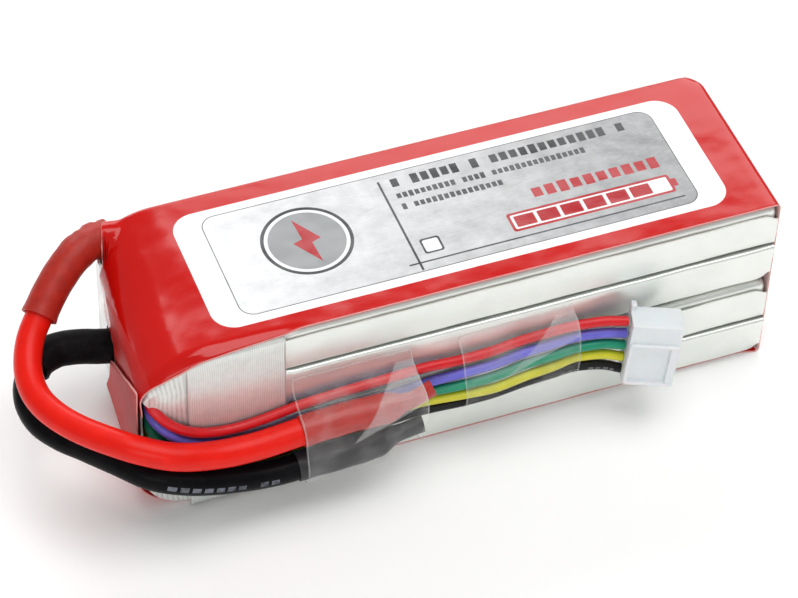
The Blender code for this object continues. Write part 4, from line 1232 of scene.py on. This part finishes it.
def makeClearTape(name, section, start, end, climb, material, node):
    line = smoothRoute([(0, y, z) for y, z in section], 0.5)
    last = len(line) - 1

    def place(u, v):
        at = (1 - v) * last
        index = min(int(at), last - 1)
        point = line[index].lerp(line[index + 1], at - index)
        ahead = line[min(index + 3, last)] - line[max(index - 2, 0)]
        outward = Vector((0, ahead.z, -ahead.y)).normalized()
        x = start + (end - start) * u
        if name == "leadTape":  # drawn in where the black cap is pinched flat
            near = smoothStep(-17.0, -12.5, x) * smoothStep(16.0, 11.0, point.z)
            point = Vector((0, point.y - 0.2 * near * (point.y - clearLook["side"]), point.z + 1.2 * near))
        crumple = 0.2 * abs(noise.noise(Vector((x * 0.3, point.z * 0.3, 4)))) + 0.1 * abs(
            noise.noise(Vector((x * 0.9 + point.z * 0.6, point.z * 0.5, 8))))
        held = math.sin(math.pi * v) ** 0.5 if 0 < v < 1 else 0.0
        slant = 0.3 * math.sin(v * 9 + len(name)) * (u - 0.5)
        return Vector((x + slant, point.y, point.z + climb * u)) + outward * crumple * held

    tape = sheetFromGrid(name, 44, 70, place, clearLook["wall"], material, ((start + end) / 2, -19.0, 14.0))
    fit(tape, "clear_tape", node)


clearTape = clearMaterial()
makeClearTape("leadTape", clearLook["leads"], -30.3, -9.5, 0.0, clearTape, "lead_tape")
makeClearTape("wireTape", clearLook["wires"], -1.6, 18.6, 1.2, clearTape, "wire_tape")
print("clear tapes ready")


# CAD nodes that keep their shape get a finish of their own

innerLook = {
    "padFoam": ((0.78, 0.78, 0.74), (0.66, 0.66, 0.62), 0.8, 0.0, 3.0, 9.0, 0.5, ["cell_pad_"]),
    "tabAluminium": ((0.80, 0.80, 0.80), (0.62, 0.62, 0.62), 0.33, 1.0, 0.8, 14.0, 0.2, ["_positive"]),
    "tabNickel": ((0.60, 0.58, 0.53), (0.44, 0.42, 0.38), 0.3, 1.0, 0.8, 14.0, 0.2, ["_negative"]),
    "solderMetal": ((0.68, 0.68, 0.70), (0.46, 0.46, 0.48), 0.24, 1.0, 1.2, 5.0, 0.4, ["_joint", "_lead_tip"]),
    "boardGlass": ((0.03, 0.20, 0.08), (0.02, 0.12, 0.05), 0.42, 0.0, 0.9, 6.0, 0.2, ["tab_board"]),
    "cardPaper": ((0.30, 0.33, 0.31), (0.22, 0.25, 0.24), 0.85, 0.0, 1.5, 8.0, 0.5, ["insulating_card"]),
    "contactTin": ((0.72, 0.70, 0.66), (0.52, 0.50, 0.47), 0.28, 1.0, 1.0, 9.0, 0.2, ["crimp_contact_"]),
}


def finishInnerNodes():
    for name, (base, other, roughness, metallic, coarse, fine, strength, keys) in innerLook.items():
        material = patchyMaterial(
            name, base, other, roughness, metallic, (coarse * 0.5, 0.7), (coarse, fine, 0.3, strength, 0.0001),
        )
        for node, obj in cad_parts.items():
            if any(key in node for key in keys):
                obj.data.materials.clear()
                obj.data.materials.append(material)


finishInnerNodes()
print("inner pieces finished")


# Floor and light

stageLook = {
    "floorSize": 3.0, "floor": (1.0, 1.0, 0.995), "world": (1.0, 1.0, 1.0), "worldStrength": 0.33, "floorGlow": 0.02,
    "lamps": [
        ("backSoftbox", (0.2, 1.16, 0.77), (0, 0, 0.03), 1.3, 0.72, 10.5),
        ("topSoftbox", (0.2, -0.1, 1.15), (0, 0, 0), 0.9, 0.9, 8.5),
        ("frontFill", (-0.5, -1.2, 0.75), (0, 0, 0.02), 0.9, 0.6, 4.5),
    ],
}


def makeStage():
    body = bmesh.new()
    bmesh.ops.create_grid(body, x_segments=1, y_segments=1, size=stageLook["floorSize"] / 2 / toMetres)
    material, tree, shader, inMm = startMaterial(
        "floorPaper", stageLook["floor"], 0.9, 0.0, Specular_IOR_Level=0.1, Emission_Strength=stageLook["floorGlow"],
    )
    shader.inputs["Emission Color"].default_value = (1.0, 1.0, 1.0, 1.0)
    addRelief(tree, shader, inMm, 0.05, 1.0, 0.2, 0.03, 0.0001)
    floor = finishMesh("floor", body, material, recalc=False)
    world = bpy.data.worlds.new("studio")
    world.use_nodes = True
    backdrop = world.node_tree.nodes["Background"]
    backdrop.inputs[0].default_value = (*stageLook["world"], 1.0)
    backdrop.inputs[1].default_value = stageLook["worldStrength"]
    bpy.context.scene.world = world
    for name, place, target, width, height, power in stageLook["lamps"]:
        data = bpy.data.lights.new(name, "AREA")
        data.shape = "RECTANGLE"
        data.size = width
        data.size_y = height
        data.energy = power
        lamp = bpy.data.objects.new(name, data)
        bpy.context.collection.objects.link(lamp)
        aim = Vector(target) - Vector(place)
        lamp.matrix_world = Matrix.Translation(place) @ aim.to_track_quat("-Z", "Y").to_matrix().to_4x4()
    bpy.context.scene.view_settings.view_transform = "Standard"


makeStage()
print("stage and light ready")
